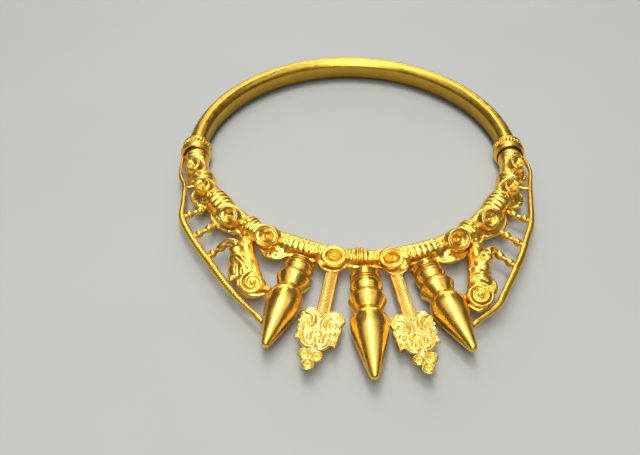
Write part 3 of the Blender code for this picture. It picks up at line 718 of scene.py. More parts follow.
# Bud drops
# Angle, lengths of stem and bud, widest radius, and how much lower the neck is drawn than in the
# solid, as a share of the bud's length
DROPS = {
    "left_drop": {
        "angle": -16.4, "stem": 2.1 * MM, "length": 44.2 * MM, "belly": 7.1 * MM, "lower": 0.0},
    "centre_drop": {
        "angle": 1.5, "stem": 3.4 * MM, "length": 50.2 * MM, "belly": 7.5 * MM, "lower": 0.05},
    "right_drop": {
        "angle": 18.0, "stem": 2.0 * MM, "length": 44.8 * MM, "belly": 7.2 * MM, "lower": 0.052},
}
DROP_SIDES = 94
ROOT_SHARE = 0.5               # radius of a drop's root, as a share of its belly
# Share of a drop's length, and radius as a share of its belly
DROP_SHAPE = (
    (-0.01, 0.5), (-0.008, 0.72), (-0.004, 0.81), (0.001, 0.84), (0.008, 0.835), (0.013, 0.72),
    (0.019, 0.715), (0.025, 0.845), (0.032, 0.85), (0.038, 0.745), (0.05, 0.835), (0.068, 0.88),
    (0.09, 0.87), (0.115, 0.82), (0.14, 0.765), (0.15, 0.745), (0.155, 0.75), (0.161, 0.855),
    (0.168, 0.865), (0.174, 0.735), (0.18, 0.735), (0.186, 0.895), (0.194, 0.905), (0.2, 0.765),
    (0.205, 0.775), (0.212, 0.99), (0.218, 1.005), (0.228, 0.985), (0.25, 0.915),
    (0.28, 0.825), (0.305, 0.75), (0.322, 0.705), (0.33, 0.695), (0.337, 0.705), (0.352, 0.765),
    (0.38, 0.86), (0.415, 0.95), (0.45, 0.99), (0.485, 1), (0.54, 0.975), (0.62, 0.88),
    (0.72, 0.715), (0.84, 0.5), (0.94, 0.315), (0.972, 0.25), (0.99, 0.205), (0.998, 0.12),
    (1, 0.05),
)


def drop_root(name):
    """Reach at which a drop starts, read from the solid's own tip."""
    sizes = DROPS[name]
    low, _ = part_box(name)
    axis = outward(sizes["angle"])
    tip = (RING_PLACE[1] - low.y - sizes["belly"] * 0.18 * abs(axis[0])) / abs(axis[1])
    return tip - sizes["stem"] - sizes["length"]


def drop_pieces():
    """Three turned buds, hand finished so that their outline is never quite true."""
    share = np.concatenate([np.linspace(-0.01, 0.4, 220), np.linspace(0.403, 1.0, 80)])
    neck = stretch(share, (0.0, 0.06), (0.34, 0.62))
    for index, (name, sizes) in enumerate(DROPS.items()):
        radius = spread(DROP_SHAPE, share - sizes["lower"] * neck)
        radius = np.concatenate([[ROOT_SHARE] * 2, radius]) * sizes["belly"]
        along = sizes["stem"] + share * sizes["length"]
        along = np.concatenate([[0.0, along[0] * 0.6], along])
        axis = outward(sizes["angle"])
        grid = turned_grid(along, radius, axis * drop_root(name), axis, DROP_SIDES)
        uneven = 0.06 * MM * ripple(grid, 14 * MM, 31 + index)
        uneven = uneven + 0.02 * MM * ripple(grid, 4 * MM, 41 + index)
        tube(name + "_bud", raised(grid, uneven), "drop_gold", (name,))


# Palmette pendants, laid out in millimetres: u across, v along from the head's top
STRAP_WIDTH_MM = 5.5
STRAP_THICK_MM = 1.1
STRAP_LAP_MM = 1.0             # past its root, into the rim
HEAD_LAP_MM = 2.4              # past its end, under the head
STRAP_PITCH_MM = 0.125
HEAD_PITCH_MM = 0.165
HEAD_LOW_MM = (-10.2, -1.8)
HEAD_HIGH_MM = (10.2, 28.2)
PALMETTES = {
    "left_palmette": {"angle": -7.3, "turn": -9.6, "head_turn": -13.3, "strap": 21.4},
    "right_palmette": {"angle": 9.8, "turn": 9.3, "head_turn": 10.5, "strap": 21.2},
}
HEAD_BEADS = ((-2.4, 20.8, 2.35), (2.4, 21.0, 2.35), (0.0, 25.0, 2.45))
# Outline of the left head: u, v and radius of rounds whose union it is; the right one is its mirror
HEAD_ROUNDS = (
    (-4, 3, 4.3), (4.4, 3.1, 4.5), (0, 8, 5.5), (-5.8, 9, 2.5), (6, 8, 2.9),
    (5.9, 11, 2.7), (-4.4, 12, 2.8), (-1.9, 14, 3.9), (2.2, 14.2, 3.9), (0.1, 18, 2),
    (0.0, 22.3, 1.5), *HEAD_BEADS,
)
# Leaf tips: start, end and half width
HEAD_LEAVES = (
    ((-6, 12.5), (-7.4, 14), 1.6), ((6, 12.4), (7.6, 15), 1.9), ((7, 3.3), (9, 3.2), 0.9),
    ((-6.8, 6.3), (-8, 5.9), 1))
# Raised strokes of the head: points, half width at start, middle and end, and height
HEAD_STROKES = (
    (((-6.4, 1.2), (-4.4, 1.6), (-2.7, 4), (-2.3, 6.4), (-3, 8)), (0.9, 1.3, 0.35), 0.85),
    (((-6.9, 3.4), (-5.4, 4.9), (-4.2, 6.2), (-4.2, 7.7), (-5.1, 8.2), (-5.7, 7.3)),
     (0.3, 0.5, 0.4), 0.6),
    (((5.4, 1.5), (3.5, 2), (2.3, 4), (2.1, 6.3), (3, 8.5)), (1, 0.85, 0.3), 0.8),
    (((1.3, 8.4), (0.4, 6.6), (0.4, 4), (1.5, 1.5), (4, 0.2), (6.5, 1), (7.5, 3.2)),
     (0.28, 0.28, 0.28), 0.45),
    (((-5.6, 10.6), (-4.9, 13.2), (-3, 15.9), (-0.9, 16.2), (-0.1, 14.5), (-0.2, 12.7)),
     (0.34, 0.48, 0.34), 0.62),
    (((-0.2, 12.7), (0.2, 14.9), (1.1, 16.4), (2.7, 16.9), (4.6, 15.3), (5, 12.8)),
     (0.34, 0.48, 0.34), 0.62),
    (((-0.7, 10.4), (0.2, 9.3), (1.5, 10), (1.5, 11.4), (0.5, 12.5)), (0.28, 0.34, 0.28), 0.5),
    (((-1.9, 10.4), (-2.3, 11.8), (-2.5, 13.4)), (0.4, 0.7, 1.05), 0.85),
    (((3.4, 10.6), (2.6, 12.2), (2.4, 14.1)), (0.45, 0.7, 1.05), 0.85),
    (((5.9, 13.6), (6.9, 15.6), (7.9, 15.4), (7.7, 13.7), (6.6, 12.8), (5.9, 13.6)),
     (0.26, 0.26, 0.26), 0.5),
    (((-8.2, 6.7), (-8.1, 5.6), (-7.2, 5.4), (-6.7, 6.2)), (0.28, 0.42, 0.28), 0.5),
    (((-7, 12.7), (-6.1, 12.4), (-5.9, 13.6), (-6.7, 14.4)), (0.28, 0.36, 0.28), 0.5),
)
# Ringed eyes of the head: place, radius of the knob and of the ring around it
HEAD_EYES = (
    (5.1, 5.9, 0.65, 1.55), (-6.6, 9.2, 0.5, 1.2), (5.9, 10.2, 0.55, 1.25), (7, 14.6, 0.45, 0))
# Row of grains across the middle, the dome above the beads and the pit in the middle
HEAD_GRAINS = ((-4.4, 9.7), (-3.4, 9.5), (-2.4, 9.2), (-1.5, 8.8), (-0.7, 8.3))
GRAIN_RADIUS_MM = 0.42
HEAD_DOME = (0.1, 18.1, 1.45)
HEAD_PIT = (0.4, 11.0, 0.55)
CORNERS = ((0, 0), (1, 0), (1, 1), (0, 1))


def stroke_distance(u, v, points):
    """Distance from each place to a line of points, and how far along it the nearest point is."""
    best = np.full(u.shape, 1e9)
    where = np.zeros(u.shape)
    total = len(points) - 1
    for index in range(total):
        (ax, ay), (bx, by) = points[index], points[index + 1]
        dx, dy = bx - ax, by - ay
        t = np.clip(((u - ax) * dx + (v - ay) * dy) / (dx * dx + dy * dy + 1e-12), 0.0, 1.0)
        away = np.hypot(u - ax - t * dx, v - ay - t * dy)
        closer = away < best
        best = np.where(closer, away, best)
        where = np.where(closer, (index + t) / total, where)
    return best, where


def head_outline(u, v):
    """Distance to the outline of the head, negative inside, and notched along its sides."""
    away = np.full(u.shape, 1e9)
    for x, y, radius in HEAD_ROUNDS:
        away = np.minimum(away, np.hypot(u - x, v - y) - radius)
    for start, end, half_width in HEAD_LEAVES:
        reach, share = stroke_distance(u, v, (start, end))
        away = np.minimum(away, reach - half_width * (1 - 0.62 * share ** 2))
    return away


def head_relief(u, v):
    """Relief of the head in millimetres over the plain plate."""
    away = head_outline(u, v)
    height = 0.52 * bump(away + 0.46, 0.34) - 0.12 * bump(away + 1.15, 0.24)
    for points, widths, rise in HEAD_STROKES:
        reach, share = stroke_distance(u, v, curve_through(points, 6)[:, :2])
        width = np.interp(share, (0.0, 0.5, 1.0), widths) * 1.08
        height = np.maximum(height, rise * dome(reach, width, 0.7))
        height = height - 0.34 * bump(reach - width - 0.16, 0.2)
    for x, y, knob, ring in HEAD_EYES:
        reach = np.hypot(u - x, v - y)
        inside = smooth_step(max(ring, 0.5 * knob) + 0.5 - reach, 0.0, 0.35)
        eye = 0.7 * dome(reach, knob, 0.6) - 0.1
        if ring:
            eye = eye + 0.58 * bump(reach - ring, 0.32)
        height = height * (1 - inside) + eye * inside
    for x, y in HEAD_GRAINS:
        height = np.maximum(height, 0.42 * dome(np.hypot(u - x, v - y), GRAIN_RADIUS_MM))
    x, y, _ = HEAD_ROUNDS[1]
    rim = bump(np.hypot(u - x, v - y) - 3.95, 0.42) * smooth_step(3.6 - v, -1.5, 1.0)
    height = height + 0.2 * rim * np.cos(np.arctan2(v - y, u - x) * 30)
    x, y, radius = HEAD_PIT
    height = height - 0.4 * bump(np.hypot(u - x, v - y), radius)
    x, y, radius = HEAD_DOME
    height = np.maximum(height, 0.7 * dome(np.hypot(u - x, v - y), radius, 0.6))
    for x, y, radius in HEAD_BEADS:
        reach = np.hypot(u - x, v - y)
        inside = smooth_step(radius - reach, 0.0, 0.25)
        bead = bump(reach - 1.88, 0.34) + 1.3 * dome(reach, 0.8) - 0.5
        height = height * (1 - inside) + inside * bead
    return height


def at_corner(grid, corner):
    """The part of a grid that holds one corner of each of its cells."""
    rows, columns = grid.shape
    return grid[corner[0]:rows - 1 + corner[0], corner[1]:columns - 1 + corner[1]]


def plate(inside_of, height_of, low, high, pitch, back):
    """A plate in u and v whose edge follows inside_of = 0; returns points and faces in mm."""
    u, v = np.meshgrid(*(np.arange(low[k], high[k] + pitch, pitch) for k in (0, 1)), indexing="ij")
    kept = inside_of(u, v) < 0.45 * pitch
    cells = np.all([at_corner(kept, corner) for corner in CORNERS], axis=0)
    full = np.zeros(u.shape, int)
    for corner in CORNERS:
        at_corner(full, corner)[...] += cells
    used = full > 0
    number = -np.ones(u.shape, int)
    number[used] = np.arange(used.sum())
    corners = np.stack([at_corner(number, corner) for corner in CORNERS], -1)[cells]
    x, y = u[used], v[used]
    border = (full < 4)[used]
    step = 0.02
    for _ in range(3):
        slope_u = (inside_of(x + step, y) - inside_of(x - step, y)) / (2 * step)
        slope_v = (inside_of(x, y + step) - inside_of(x, y - step)) / (2 * step)
        scale = np.where(border, inside_of(x, y) / (slope_u ** 2 + slope_v ** 2 + 1e-6), 0.0)
        x, y = x - scale * slope_u, y - scale * slope_v
    front = np.stack([x, y, height_of(x, y)], -1)
    behind = np.stack([x, y, np.full(x.shape, back)], -1)
    count = len(x)
    faces = corners.tolist() + (corners[:, ::-1] + count).tolist()
    edges = dict.fromkeys(
        edge for quad in corners.tolist() for edge in zip(quad, quad[1:] + quad[:1]))
    faces += [[b, a, a + count, b + count] for a, b in edges if (b, a) not in edges]
    return np.concatenate([front, behind]), faces


def strap_height(u, v, side):
    """Relief of the strap in millimetres: plain borders, two grooves and a roped ridge."""
    edge = STRAP_WIDTH_MM / 2 - np.abs(u)
    height = 0.26 * bump(np.abs(u) - 2.2, 0.36)
    phase = ((v - 1.15 * side * u) / 1.95) % 1.0
    strand = dome(2.3 * phase - 1.15, 1.0, 0.8)
    height = height + dome(u, 1.35) * (0.62 * strand + 0.06) - 0.2 * bump(np.abs(u) - 1.62, 0.24)
    return height - 0.3 * bump(edge, 0.16)


def palmette_piece(name):
    """One pendant: strap, head and three beads."""
    sizes = PALMETTES[name]
    side = 1 if sizes["angle"] > 0 else -1
    half, half_width = STRAP_THICK_MM / 2, STRAP_WIDTH_MM / 2
    strap_end = sizes["strap"] + HEAD_LAP_MM
    root = polar(sizes["angle"], arc_edge(sizes["angle"]) + JOINT_GAP)
    lean = outward(sizes["turn"])

    def strap_outline(u, v):
        ends = np.maximum(-STRAP_LAP_MM - v, v - sizes["strap"] - HEAD_LAP_MM)
        return np.maximum(np.abs(u) - half_width, ends)

    def strap_top(u, v):
        return half - 0.3 + strap_height(u, v, side)

    def mirrored_outline(u, v):
        return head_outline(-side * u, v)

    def head_top(u, v):
        return half - 0.24 + head_relief(-side * u, v)

    strap, faces = plate(
        strap_outline, strap_top, (-half_width, -STRAP_LAP_MM), (half_width, strap_end),
        STRAP_PITCH_MM, -half)
    head, head_faces = plate(
        mirrored_outline, head_top, HEAD_LOW_MM, HEAD_HIGH_MM, HEAD_PITCH_MM, -half)

    def placed(points, start, along):
        across = np.array((-along[1], along[0], 0.0))
        return start + MM * (points[:, :1] * across + points[:, 1:2] * along + points[:, 2:] * UP)

    strap = placed(strap, root, lean)
    head = placed(head, root + lean * sizes["strap"] * MM, outward(sizes["head_turn"]))
    faces += [[index + len(strap) for index in face] for face in head_faces]
    as_piece(
        name + "_plate", to_row(np.concatenate([strap, head])), faces, "palmette_gold", (name,))


# Side rails: a slim upper end, a full lower part and a thin tip on the drop
RAIL_SLIM_RADIUS = 1.12 * MM
RAIL_FULL_RADIUS = 1.55 * MM
RAIL_TIP_RADIUS = 0.9 * MM
RAIL_LANDING = 0.75            # share of the drop's length at which the rail meets it
RAIL_FINE_STEPS = 66
RAIL_SIDES = 17
BINDING_PITCH = 1.35 * MM
# Points along each rail, as angle and millimetres outside the ring, and its ribbing in millimetres
RAILS = {
    "left_rail": {
        "points": (
            (-85.2, 4.6), (-83, 6.4), (-75, 8), (-69.3, 7.7), (-61.4, 12),
            (-56, 16.2), (-47.9, 19.4), (-39.1, 23.5), (-28.3, 32),
        ),
        "drop": "left_drop", "side": -1, "ribbing": 0.13,
    },
    "right_rail": {
        "points": (
            (85.4, 4.8), (83.5, 6.8), (77.4, 9.3), (68.7, 10.5), (61.7, 13.4),
            (54.1, 18.1), (47.9, 21.3), (41, 26.4), (30.2, 36.7), (26.9, 40.4),
        ),
        "drop": "right_drop", "side": 1, "ribbing": 0.0,
    },
}
STUB_ANGLE = 68.2              # short stay between rail and arc on each side
STUB_STEPS = 26
STUB_SIDES = 20


def rail_path(name):
    """Middle line of a rail."""
    sizes = RAILS[name]
    points = [polar(angle, RING_RADIUS + outside * MM) for angle, outside in sizes["points"]]
    drop = DROPS[sizes["drop"]]
    axis = outward(drop["angle"])
    side = np.array((-axis[1], axis[0], 0.0)) * sizes["side"]
    along = drop["stem"] + RAIL_LANDING * drop["length"]
    beside = spread(DROP_SHAPE, RAIL_LANDING) * drop["belly"] + 0.2 * MM
    points.append(axis * (drop_root(sizes["drop"]) + along) + side * beside)
    return curve_through(points, RAIL_FINE_STEPS)


def swept_grid(path, widths, heights, sides):
    """Elliptical rings square to a path that stays near the horizontal."""
    run = unit(np.gradient(path, axis=0))
    across = unit(np.cross(run, UP))
    lift = np.cross(across, run)
    turn = full_turn(sides)
    return (
        path[:, None, :] + across[:, None, :] * (widths[:, None] * np.cos(turn))[..., None]
        + lift[:, None, :] * (heights[:, None] * np.sin(turn))[..., None]
    )


def rail_piece(name):
    """A thin rail, beaten flat beside the arc and round below; the left one is bound with wire."""
    path = rail_path(name)
    share = np.linspace(0.0, 1.0, len(path))
    swell = smooth_step(share, 0.25, 0.78)
    heights = RAIL_SLIM_RADIUS + (RAIL_FULL_RADIUS - RAIL_SLIM_RADIUS) * swell
    heights = heights + (RAIL_TIP_RADIUS - heights) * smooth_step(share, 0.84, 1.0)
    flat = 0.58 + 0.42 * smooth_step(share, 0.02, 0.36)
    length = np.concatenate([[0.0], np.cumsum(np.linalg.norm(np.diff(path, axis=0), axis=1))])
    bound = stretch(share, (0.48, 0.6), (0.93, 0.97))
    wire = RAILS[name]["ribbing"] * MM * bound * np.cos(2 * math.pi * length / BINDING_PITCH)
    end = 1.0 + 0.35 * bump(share - 0.985, 0.012)
    grid = swept_grid(path, heights * flat * end + wire, heights * end + wire, RAIL_SIDES)
    uneven = 0.05 * MM * ripple(grid, 6 * MM, 51) + 0.03 * MM * ripple(grid, 2.2 * MM, 52)
    tube(name + "_wire", raised(grid, uneven), "rail_gold", (name,))


def rail_reach(name, angle):
    """Reach of a rail's middle line at an angle."""
    path = rail_path(name)
    angles = np.degrees(np.arctan2(path[:, 0], -path[:, 1]))
    order = np.argsort(angles)
    return float(np.interp(angle, angles[order], np.hypot(path[:, 0], path[:, 1])[order]))


def stub_pieces():
    """The short stays between each rail and the arc, above the first baluster."""
    for name, sizes in RAILS.items():
        angle = STUB_ANGLE * sizes["side"]
        start = arc_edge(angle) - 1.4 * MM
        length = rail_reach(name, angle) - start
        along = np.linspace(0.0, length, STUB_STEPS)
        share = along / length
        radius = (0.95 - 0.3 * np.sin(math.pi * share) + 0.35 * bump(share - 1, 0.2)) * MM
        base = polar(angle, start, 0.1 * MM)
        tube(name + "_stub", turned_grid(along, radius, base, outward(angle), STUB_SIDES), "rail_gold")


# Balusters: rail, angle and the figure that carries the inner end, if one does
BALUSTERS = {
    "left_baluster_1": ("left_rail", -56.0, None),
    "left_baluster_2": ("left_rail", -47.4, None),
    "left_baluster_3": ("left_rail", -39.2, "left_figure"),
    "right_baluster_1": ("right_rail", 54.6, None),
    "right_baluster_2": ("right_rail", 45.2, None),
    "right_baluster_3": ("right_rail", 38.0, "right_figure"),
}
BALUSTER_RADIUS = 1.9 * MM
BALUSTER_STEPS = 74
BALUSTER_SIDES = 30
BALUSTER_SHAPE = (
    (0, 0.6), (0.08, 0.66), (0.13, 0.62), (0.2, 0.9), (0.29, 1), (0.38, 0.84), (0.46, 0.52),
    (0.55, 0.46), (0.63, 0.66), (0.73, 0.96), (0.8, 0.9), (0.86, 0.58), (0.91, 0.56), (0.96, 0.72),
    (1, 0.8),
)


def baluster_piece(name):
    """A turned stay with two bulbs and a solder foot on the rail."""
    rail, angle, figure = BALUSTERS[name]
    start = arc_edge(angle) - 0.8 * MM
    if figure:
        sizes = FIGURES[figure]
        edge = arc_edge(sizes["angle"])
        start = edge + (sizes["head"][1] - edge) * 0.3 - 1.0 * MM
    length = rail_reach(rail, angle) - 0.5 * MM - start
    share = np.linspace(0.0, 1.0, BALUSTER_STEPS)
    slim = min(1.0, length / (4.9 * BALUSTER_RADIUS))
    radius = spread(BALUSTER_SHAPE, share) * BALUSTER_RADIUS * slim
    grid = turned_grid(
        share * length, radius, polar(angle, start), outward(angle), BALUSTER_SIDES)
    uneven = 0.05 * MM * ripple(grid, 2.6 * MM, 61)
    tube(name + "_turning", raised(grid, uneven), "rail_gold", (name,))


# Figures. Lumps are places and radii, strands are points and a radius, and coil is the outer radius
# of the head's coil and how far it is moved over and down, all in millimetres
FIGURES = {
    "left_figure": {
        "angle": -36.0, "head": (-24.6, 102.2 * MM), "side": -1, "turns": 1.6, "coil": (5.0, 0.0, 0.0),
        "lumps": (
            (-50.2, -73.6, 1.6, 3.4, 4, 2.8), (-49.4, -79.6, 0.8, 4.2, 4.6, 3.6),
            (-49.6, -85, 0.6, 3.7, 5, 3.2), (-46.6, -85.2, 0.8, 4, 4.8, 3.6),
            (-51.2, -89.6, 1, 1.5, 1.6, 1.3),
        ),
        "strands": (
            (((-53.2, -77.6, 1.6), (-49.2, -79.6, 4.1), (-46, -83.4, 4.2), (-42.4, -87, 2.8)), 0.72),
            (((-53.4, -79.4, 1.2), (-49.7, -81.6, 3.8), (-46.8, -85.2, 4.1), (-43.6, -88.8, 2.8)), 0.62),
            (((-50.2, -83.6, 3.4), (-50.2, -86.4, 3.4), (-50.1, -88.8, 2.4)), 0.7),
            (((-47.6, -86.6, 3.9), (-47.4, -88.4, 3.7), (-47.2, -90, 3)), 0.7),
            (((-52, -84.6, 2.2), (-51.9, -87.4, 2)), 0.6),
            (((-44.8, -78.6, 1.8), (-43, -80.9, 1.4)), 0.85),
            (((-46.8, -97.2, 1.2), (-42.2, -98.7, 1), (-36.8, -98, 1)), 0.8),
        ),
        "arm": ((-49.2, -73.6, 4.0), (-53.4, -70.9, 3.5), (-56.8, -71.9, 2.0)),
    },
    "right_figure": {
        "angle": 35.6, "head": (25.6, 108.4 * MM), "side": 1, "turns": 2.2, "coil": (5.4, -0.8, -1.8),
        "lumps": (
            (49.6, -83, 1.2, 3.9, 5, 3.2), (52.6, -78.4, 1.8, 2.8, 3.4, 2.5),
            (44.6, -93.4, 1.2, 1.7, 2.3, 1.6), (49, -91.4, 0.6, 4.2, 4.2, 3.3),
        ),
        "strands": (
            (((47.8, -78, 2.8), (50.4, -83.2, 4.1), (53.8, -80.4, 3)), 0.72),
            (((45.2, -88.2, 1.8), (48.8, -89.2, 3.9), (52.8, -87.8, 2.2)), 0.7),
            (((44.9, -90, 1.8), (48.5, -91.1, 3.8), (52.7, -89.8, 2)), 0.62),
            (((52.8, -89.8, 1.4), (53.8, -93.4, 1), (52.9, -98, 1)), 0.78),
            (((45.6, -84, 1.6), (44.3, -86, 1.4)), 0.85),
            (((40.9, -103.2, 0.8), (45.3, -106, 0.5), (49.9, -103.2, 0.8)), 0.85),
        ),
        "arm": ((52.6, -77.6, 3.4), (54.4, -75.4, 3.0), (56.2, -73.6, 1.8)),
    },
}
# Half widths of a figure's trunk in millimetres, at even steps from the arc to the head
FIGURE_WIDTHS = (3.0, 3.4, 3.8, 3.9, 3.8, 3.9, 4.2, 4.4, 4.3, 4.4, 4.7, 4.9, 4.8)
FIGURE_VOXEL = 0.25 * MM
ARM_RADII = (2.1 * MM, 1.8 * MM, 1.5 * MM, 1.2 * MM)
# Muzzle: millimetres from the middle of the head, and radius
SNOUT_SHAPE = (
    (0, 2.3), (3.4, 2.2), (4.5, 1.9), (5, 1.4), (5.4, 1.4), (5.8, 1.9), (6.2, 1.4), (6.6, 1.3),
    (7, 1.6), (7.4, 1.1))
SNOUT_STEPS = 60
SNOUT_SIDES = 26
TRUNK_STEPS = 30
TRUNK_SIDES = 40
BALL_RINGS = 16
BALL_SIDES = 28
LIMB_STEPS = 8
LIMB_SIDES = 18
COIL_STEPS = 120
COIL_SIDES = 14


def fused(name, grids, slot, nodes):
    """Closed forms melted into one skin by a fine remesh, then softened."""
    points, faces = [], []
    start = 0
    for grid in grids:
        faces += tube_faces(*grid.shape[:2], start)
        points.append(tube_points(grid))
        start += len(points[-1])
    rough = mesh_object(name + "_parts", np.concatenate(points), faces)
    melt = rough.modifiers.new("melt", "REMESH")
    melt.mode = "VOXEL"
    melt.voxel_size = FIGURE_VOXEL
    soften = rough.modifiers.new("soften", "SMOOTH")
    soften.factor = 0.5
    soften.iterations = 3
    graph = bpy.context.evaluated_depsgraph_get()
    melted = bpy.data.meshes.new_from_object(rough.evaluated_get(graph))
    flat = np.zeros(len(melted.vertices) * 3)
    melted.vertices.foreach_get("co", flat)
    skins = [list(polygon.vertices) for polygon in melted.polygons]
    bpy.data.objects.remove(rough, do_unlink=True)
    as_piece(name, to_row(flat.reshape(-1, 3)), skins, slot, nodes)


def ball(centre, radii, turn=None):
    """An ellipsoid as a grid; turn holds its three axes as rows."""
    lift = np.linspace(-0.49 * math.pi, 0.49 * math.pi, BALL_RINGS)[:, None]
    turns = full_turn(BALL_SIDES)
    grid = np.stack(np.broadcast_arrays(
        np.cos(lift) * np.cos(turns), np.cos(lift) * np.sin(turns), np.sin(lift)), -1) * radii
    if turn is not None:
        grid = grid @ turn
    return centre + grid


def limb(points, radii):
    """A round limb along a curve."""
    path = curve_through(points, LIMB_STEPS)
    share = np.linspace(0.0, 1.0, len(path))
    size = np.interp(share, np.linspace(0.0, 1.0, len(radii)), radii)
    size = size * np.sqrt(np.clip(1 - (2 * share - 1) ** 14, 0.02, 1.0))
    return swept_grid(path, size, size, LIMB_SIDES)


def coil_grid(centre, outer, inner, turns, thick, axes, start=0.0):
    """A spiral coil from outer to inner radius, rising a little to its eye."""
    share = np.linspace(0.0, 1.0, COIL_STEPS)
    turn = (start + 2 * math.pi * turns * share)[:, None]
    reach = (outer + (inner - outer) * share)[:, None]
    path = centre + reach * (np.cos(turn) * axes[0] + np.sin(turn) * axes[1])
    path = path + (0.5 * MM * share)[:, None] * axes[2]
    side = np.cross(unit(np.gradient(path, axis=0)), axes[2])
    ring = full_turn(COIL_SIDES)
    size = thick * (1 - 0.35 * share) * np.sqrt(np.clip(1 - (2 * share - 1) ** 20, 0.02, 1.0))
    return path[:, None] + size[:, None, None] * (
        np.cos(ring)[None, :, None] * side[:, None] + np.sin(ring)[None, :, None] * axes[2])


def head_axes():
    """Two axes of the face of a figure's head, and the way it looks: up and a little forward."""
    tilt = unit(np.array((0.0, -0.34, 1.0)))
    first = unit(np.cross(UP, tilt))
    return np.array((first, np.cross(tilt, first), tilt))


def figure_piece(name):
    """A crouched figure: bent arm, belted waist, skirt, coiled head and ringed muzzle."""
    sizes = FIGURES[name]
    side, turns = sizes["side"], sizes["turns"]
    place = outward(sizes["angle"])
    head = polar(*sizes["head"])
    root = polar(sizes["angle"], arc_edge(sizes["angle"]) - 1.0 * MM)
    path = curve_through([root, root + (head - root) * 0.46 + place * 0.6 * MM, head], TRUNK_STEPS)
    share = np.linspace(0.0, 1.0, len(path))
    width = spread(list(zip(np.linspace(0, 1, len(FIGURE_WIDTHS)), FIGURE_WIDTHS)), share) * MM
    cap = np.sqrt(np.clip(1 - np.clip((share - 0.86) / 0.16, 0, 1) ** 2, 0.02, 1.0))
    run = unit(head - root)
    outer = np.cross(run, UP)
    outer = outer if outer @ outward(sizes["angle"] + 40 * side) > 0 else -outer
    axes = head_axes()
    tilt = axes[2]
    coil_radius, over, down = sizes["coil"]
    crest = head + tilt * 3.7 * MM + np.array((over, down, 0.0)) * MM
    curl = head + outer * 4.3 * MM - run * 1.0 * MM + UP * 2.2 * MM
    grids = [
        swept_grid(path, width * cap, 0.82 * width * cap, TRUNK_SIDES),
        ball(crest - tilt * 3.5 * MM, np.array((5.4, 5.4, 3.9)) * MM, axes),
        coil_grid(
            crest, coil_radius * MM, 1.9 * MM, turns * -side, 1.15 * MM / turns, axes, math.pi / 2),
        ball(crest + tilt * 0.3 * MM, np.array((1.15, 1.15, 1.1)) * MM, axes),
        coil_grid(curl, 2.0 * MM, 0.8 * MM, 1.2 * side, 0.62 * MM, axes),
        ball(curl - UP * 0.8 * MM, np.array((2.3, 2.3, 1.6)) * MM, axes),
    ]
    grids += [ball(np.array(lump[:3]) * MM, np.array(lump[3:]) * MM) for lump in sizes["lumps"]]
    grids += [
        limb(np.array(points) * MM, (radius * MM, radius * MM)) for points, radius in sizes["strands"]]
    arm = np.array(sizes["arm"]) * MM
    arm_angle = BALUSTERS[name.replace("figure", "baluster_3")][1]
    hand = polar(arm_angle, float(np.linalg.norm(arm[-1][:2])) + 1.4 * MM, 0.5 * MM)
    grids.append(limb([*arm, hand], ARM_RADII))
    along = np.linspace(0.0, SNOUT_SHAPE[-1][0], SNOUT_STEPS)
    grids.append(turned_grid(
        along * MM, spread(SNOUT_SHAPE, along) * MM, head, (-side, -0.25, 0.0), SNOUT_SIDES))
    fused(name + "_body", grids, "worked_gold", (name,))


# Floor, light and camera
FLOOR_HALF = 3.0
FLOOR_DROP = 0.05 * MM
FLOOR_TONES = ((0.4, 0.42, 0.42, 1.0), (0.43, 0.45, 0.45, 1.0))
WORLD_COLOUR = (0.6, 0.62, 0.66, 1.0)
WORLD_STRENGTH = 0.14
WHITE = (1.0, 1.0, 1.0)
WARM = (1.0, 0.97, 0.9)
# Place, width and depth, power and colour of each light; all are turned to the middle of the ring
LIGHTS = {
    "band": ((0.0, 0.05, 1.0), (2.2, 0.6), 3.8, WHITE),
    "arch_front": ((-0.04, -0.52, 0.84), (0.36, 0.6), 5.5, WARM),
    "arch_top": ((-0.04, 0.12, 0.97), (0.22, 0.54), 4.2, WARM),
    "back_middle": ((-0.03, 0.68, 0.73), (0.26, 0.2), 1.3, WARM),
    "back_low": ((0.0, 0.94, 0.34), (0.9, 0.16), 2.4, WARM),
}


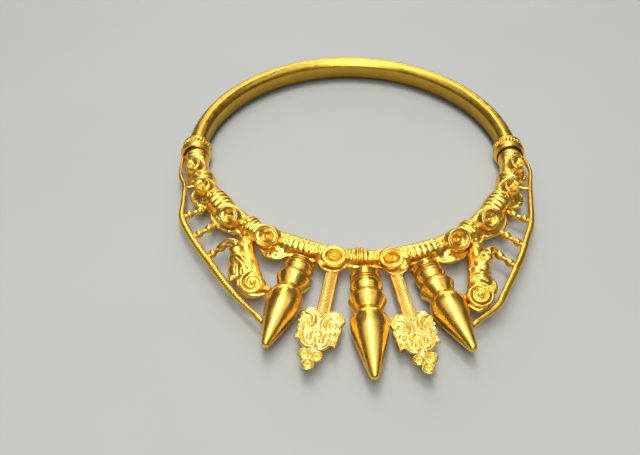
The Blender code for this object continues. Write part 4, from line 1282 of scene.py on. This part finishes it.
def floor_material():
    """Plain pale floor, slightly uneven in tone."""
    material, tree, shader = new_material("pale_floor")
    shader.inputs["Roughness"].default_value = 0.85
    texture = fill(tree, tree.nodes.new("ShaderNodeTexNoise"), {"Scale": 60.0})
    tone = blended(tree, texture.outputs["Fac"], *FLOOR_TONES)
    fill(tree, shader, {"Base Color": tone})
    return material


def add_floor():
    """A wide flat floor under the object."""
    mesh = bpy.data.meshes.new("floor")
    signs = ((-1, -1), (1, -1), (1, 1), (-1, 1))
    mesh.from_pydata([(x * FLOOR_HALF, y * FLOOR_HALF, 0.0) for x, y in signs], [], [(0, 1, 2, 3)])
    mesh.materials.append(floor_material())
    floor = linked("floor", mesh)
    floor.location.z = -FLOOR_DROP


def add_light():
    """A broad band overhead, two lights in an arch over the ring, two behind it and a dim world."""
    world = bpy.data.worlds.new("studio")
    world.use_nodes = True
    background = world.node_tree.nodes["Background"]
    background.inputs["Color"].default_value = WORLD_COLOUR
    background.inputs["Strength"].default_value = WORLD_STRENGTH
    bpy.context.scene.world = world
    for name, (place, size, watts, colour) in LIGHTS.items():
        light = bpy.data.lights.new(name, "AREA")
        light.shape = "RECTANGLE"
        light.size, light.size_y = size
        light.energy = watts
        light.color = colour
        item = linked(name, light)
        item.location = place
        item.rotation_euler = (-Vector(place)).to_track_quat("-Z", "Y").to_euler()


def add_camera():
    """The photograph's view."""
    camera = bpy.data.cameras.new("camera")
    camera.lens = CAMERA_LENS
    camera.sensor_width = SENSOR_WIDTH
    camera.clip_start = 0.01
    item = linked("camera", camera)
    item.matrix_world = RING @ Matrix.Translation(Vector(CAMERA_PLACE)) @ Matrix.Rotation(
        math.radians(90 - CAMERA_PITCH), 4, "X")
    bpy.context.scene.camera = item


add_camera()
add_floor()
add_light()
bpy.context.scene.view_settings.view_transform = "Standard"
hoop_piece()
collar_piece(-1)
collar_piece(1)
arc_piece()
boss_pieces()
drop_pieces()
for palmette in PALMETTES:
    palmette_piece(palmette)
for rail in RAILS:
    rail_piece(rail)
stub_pieces()
for figure in FIGURES:
    figure_piece(figure)
for baluster in BALUSTERS:
    baluster_piece(baluster)
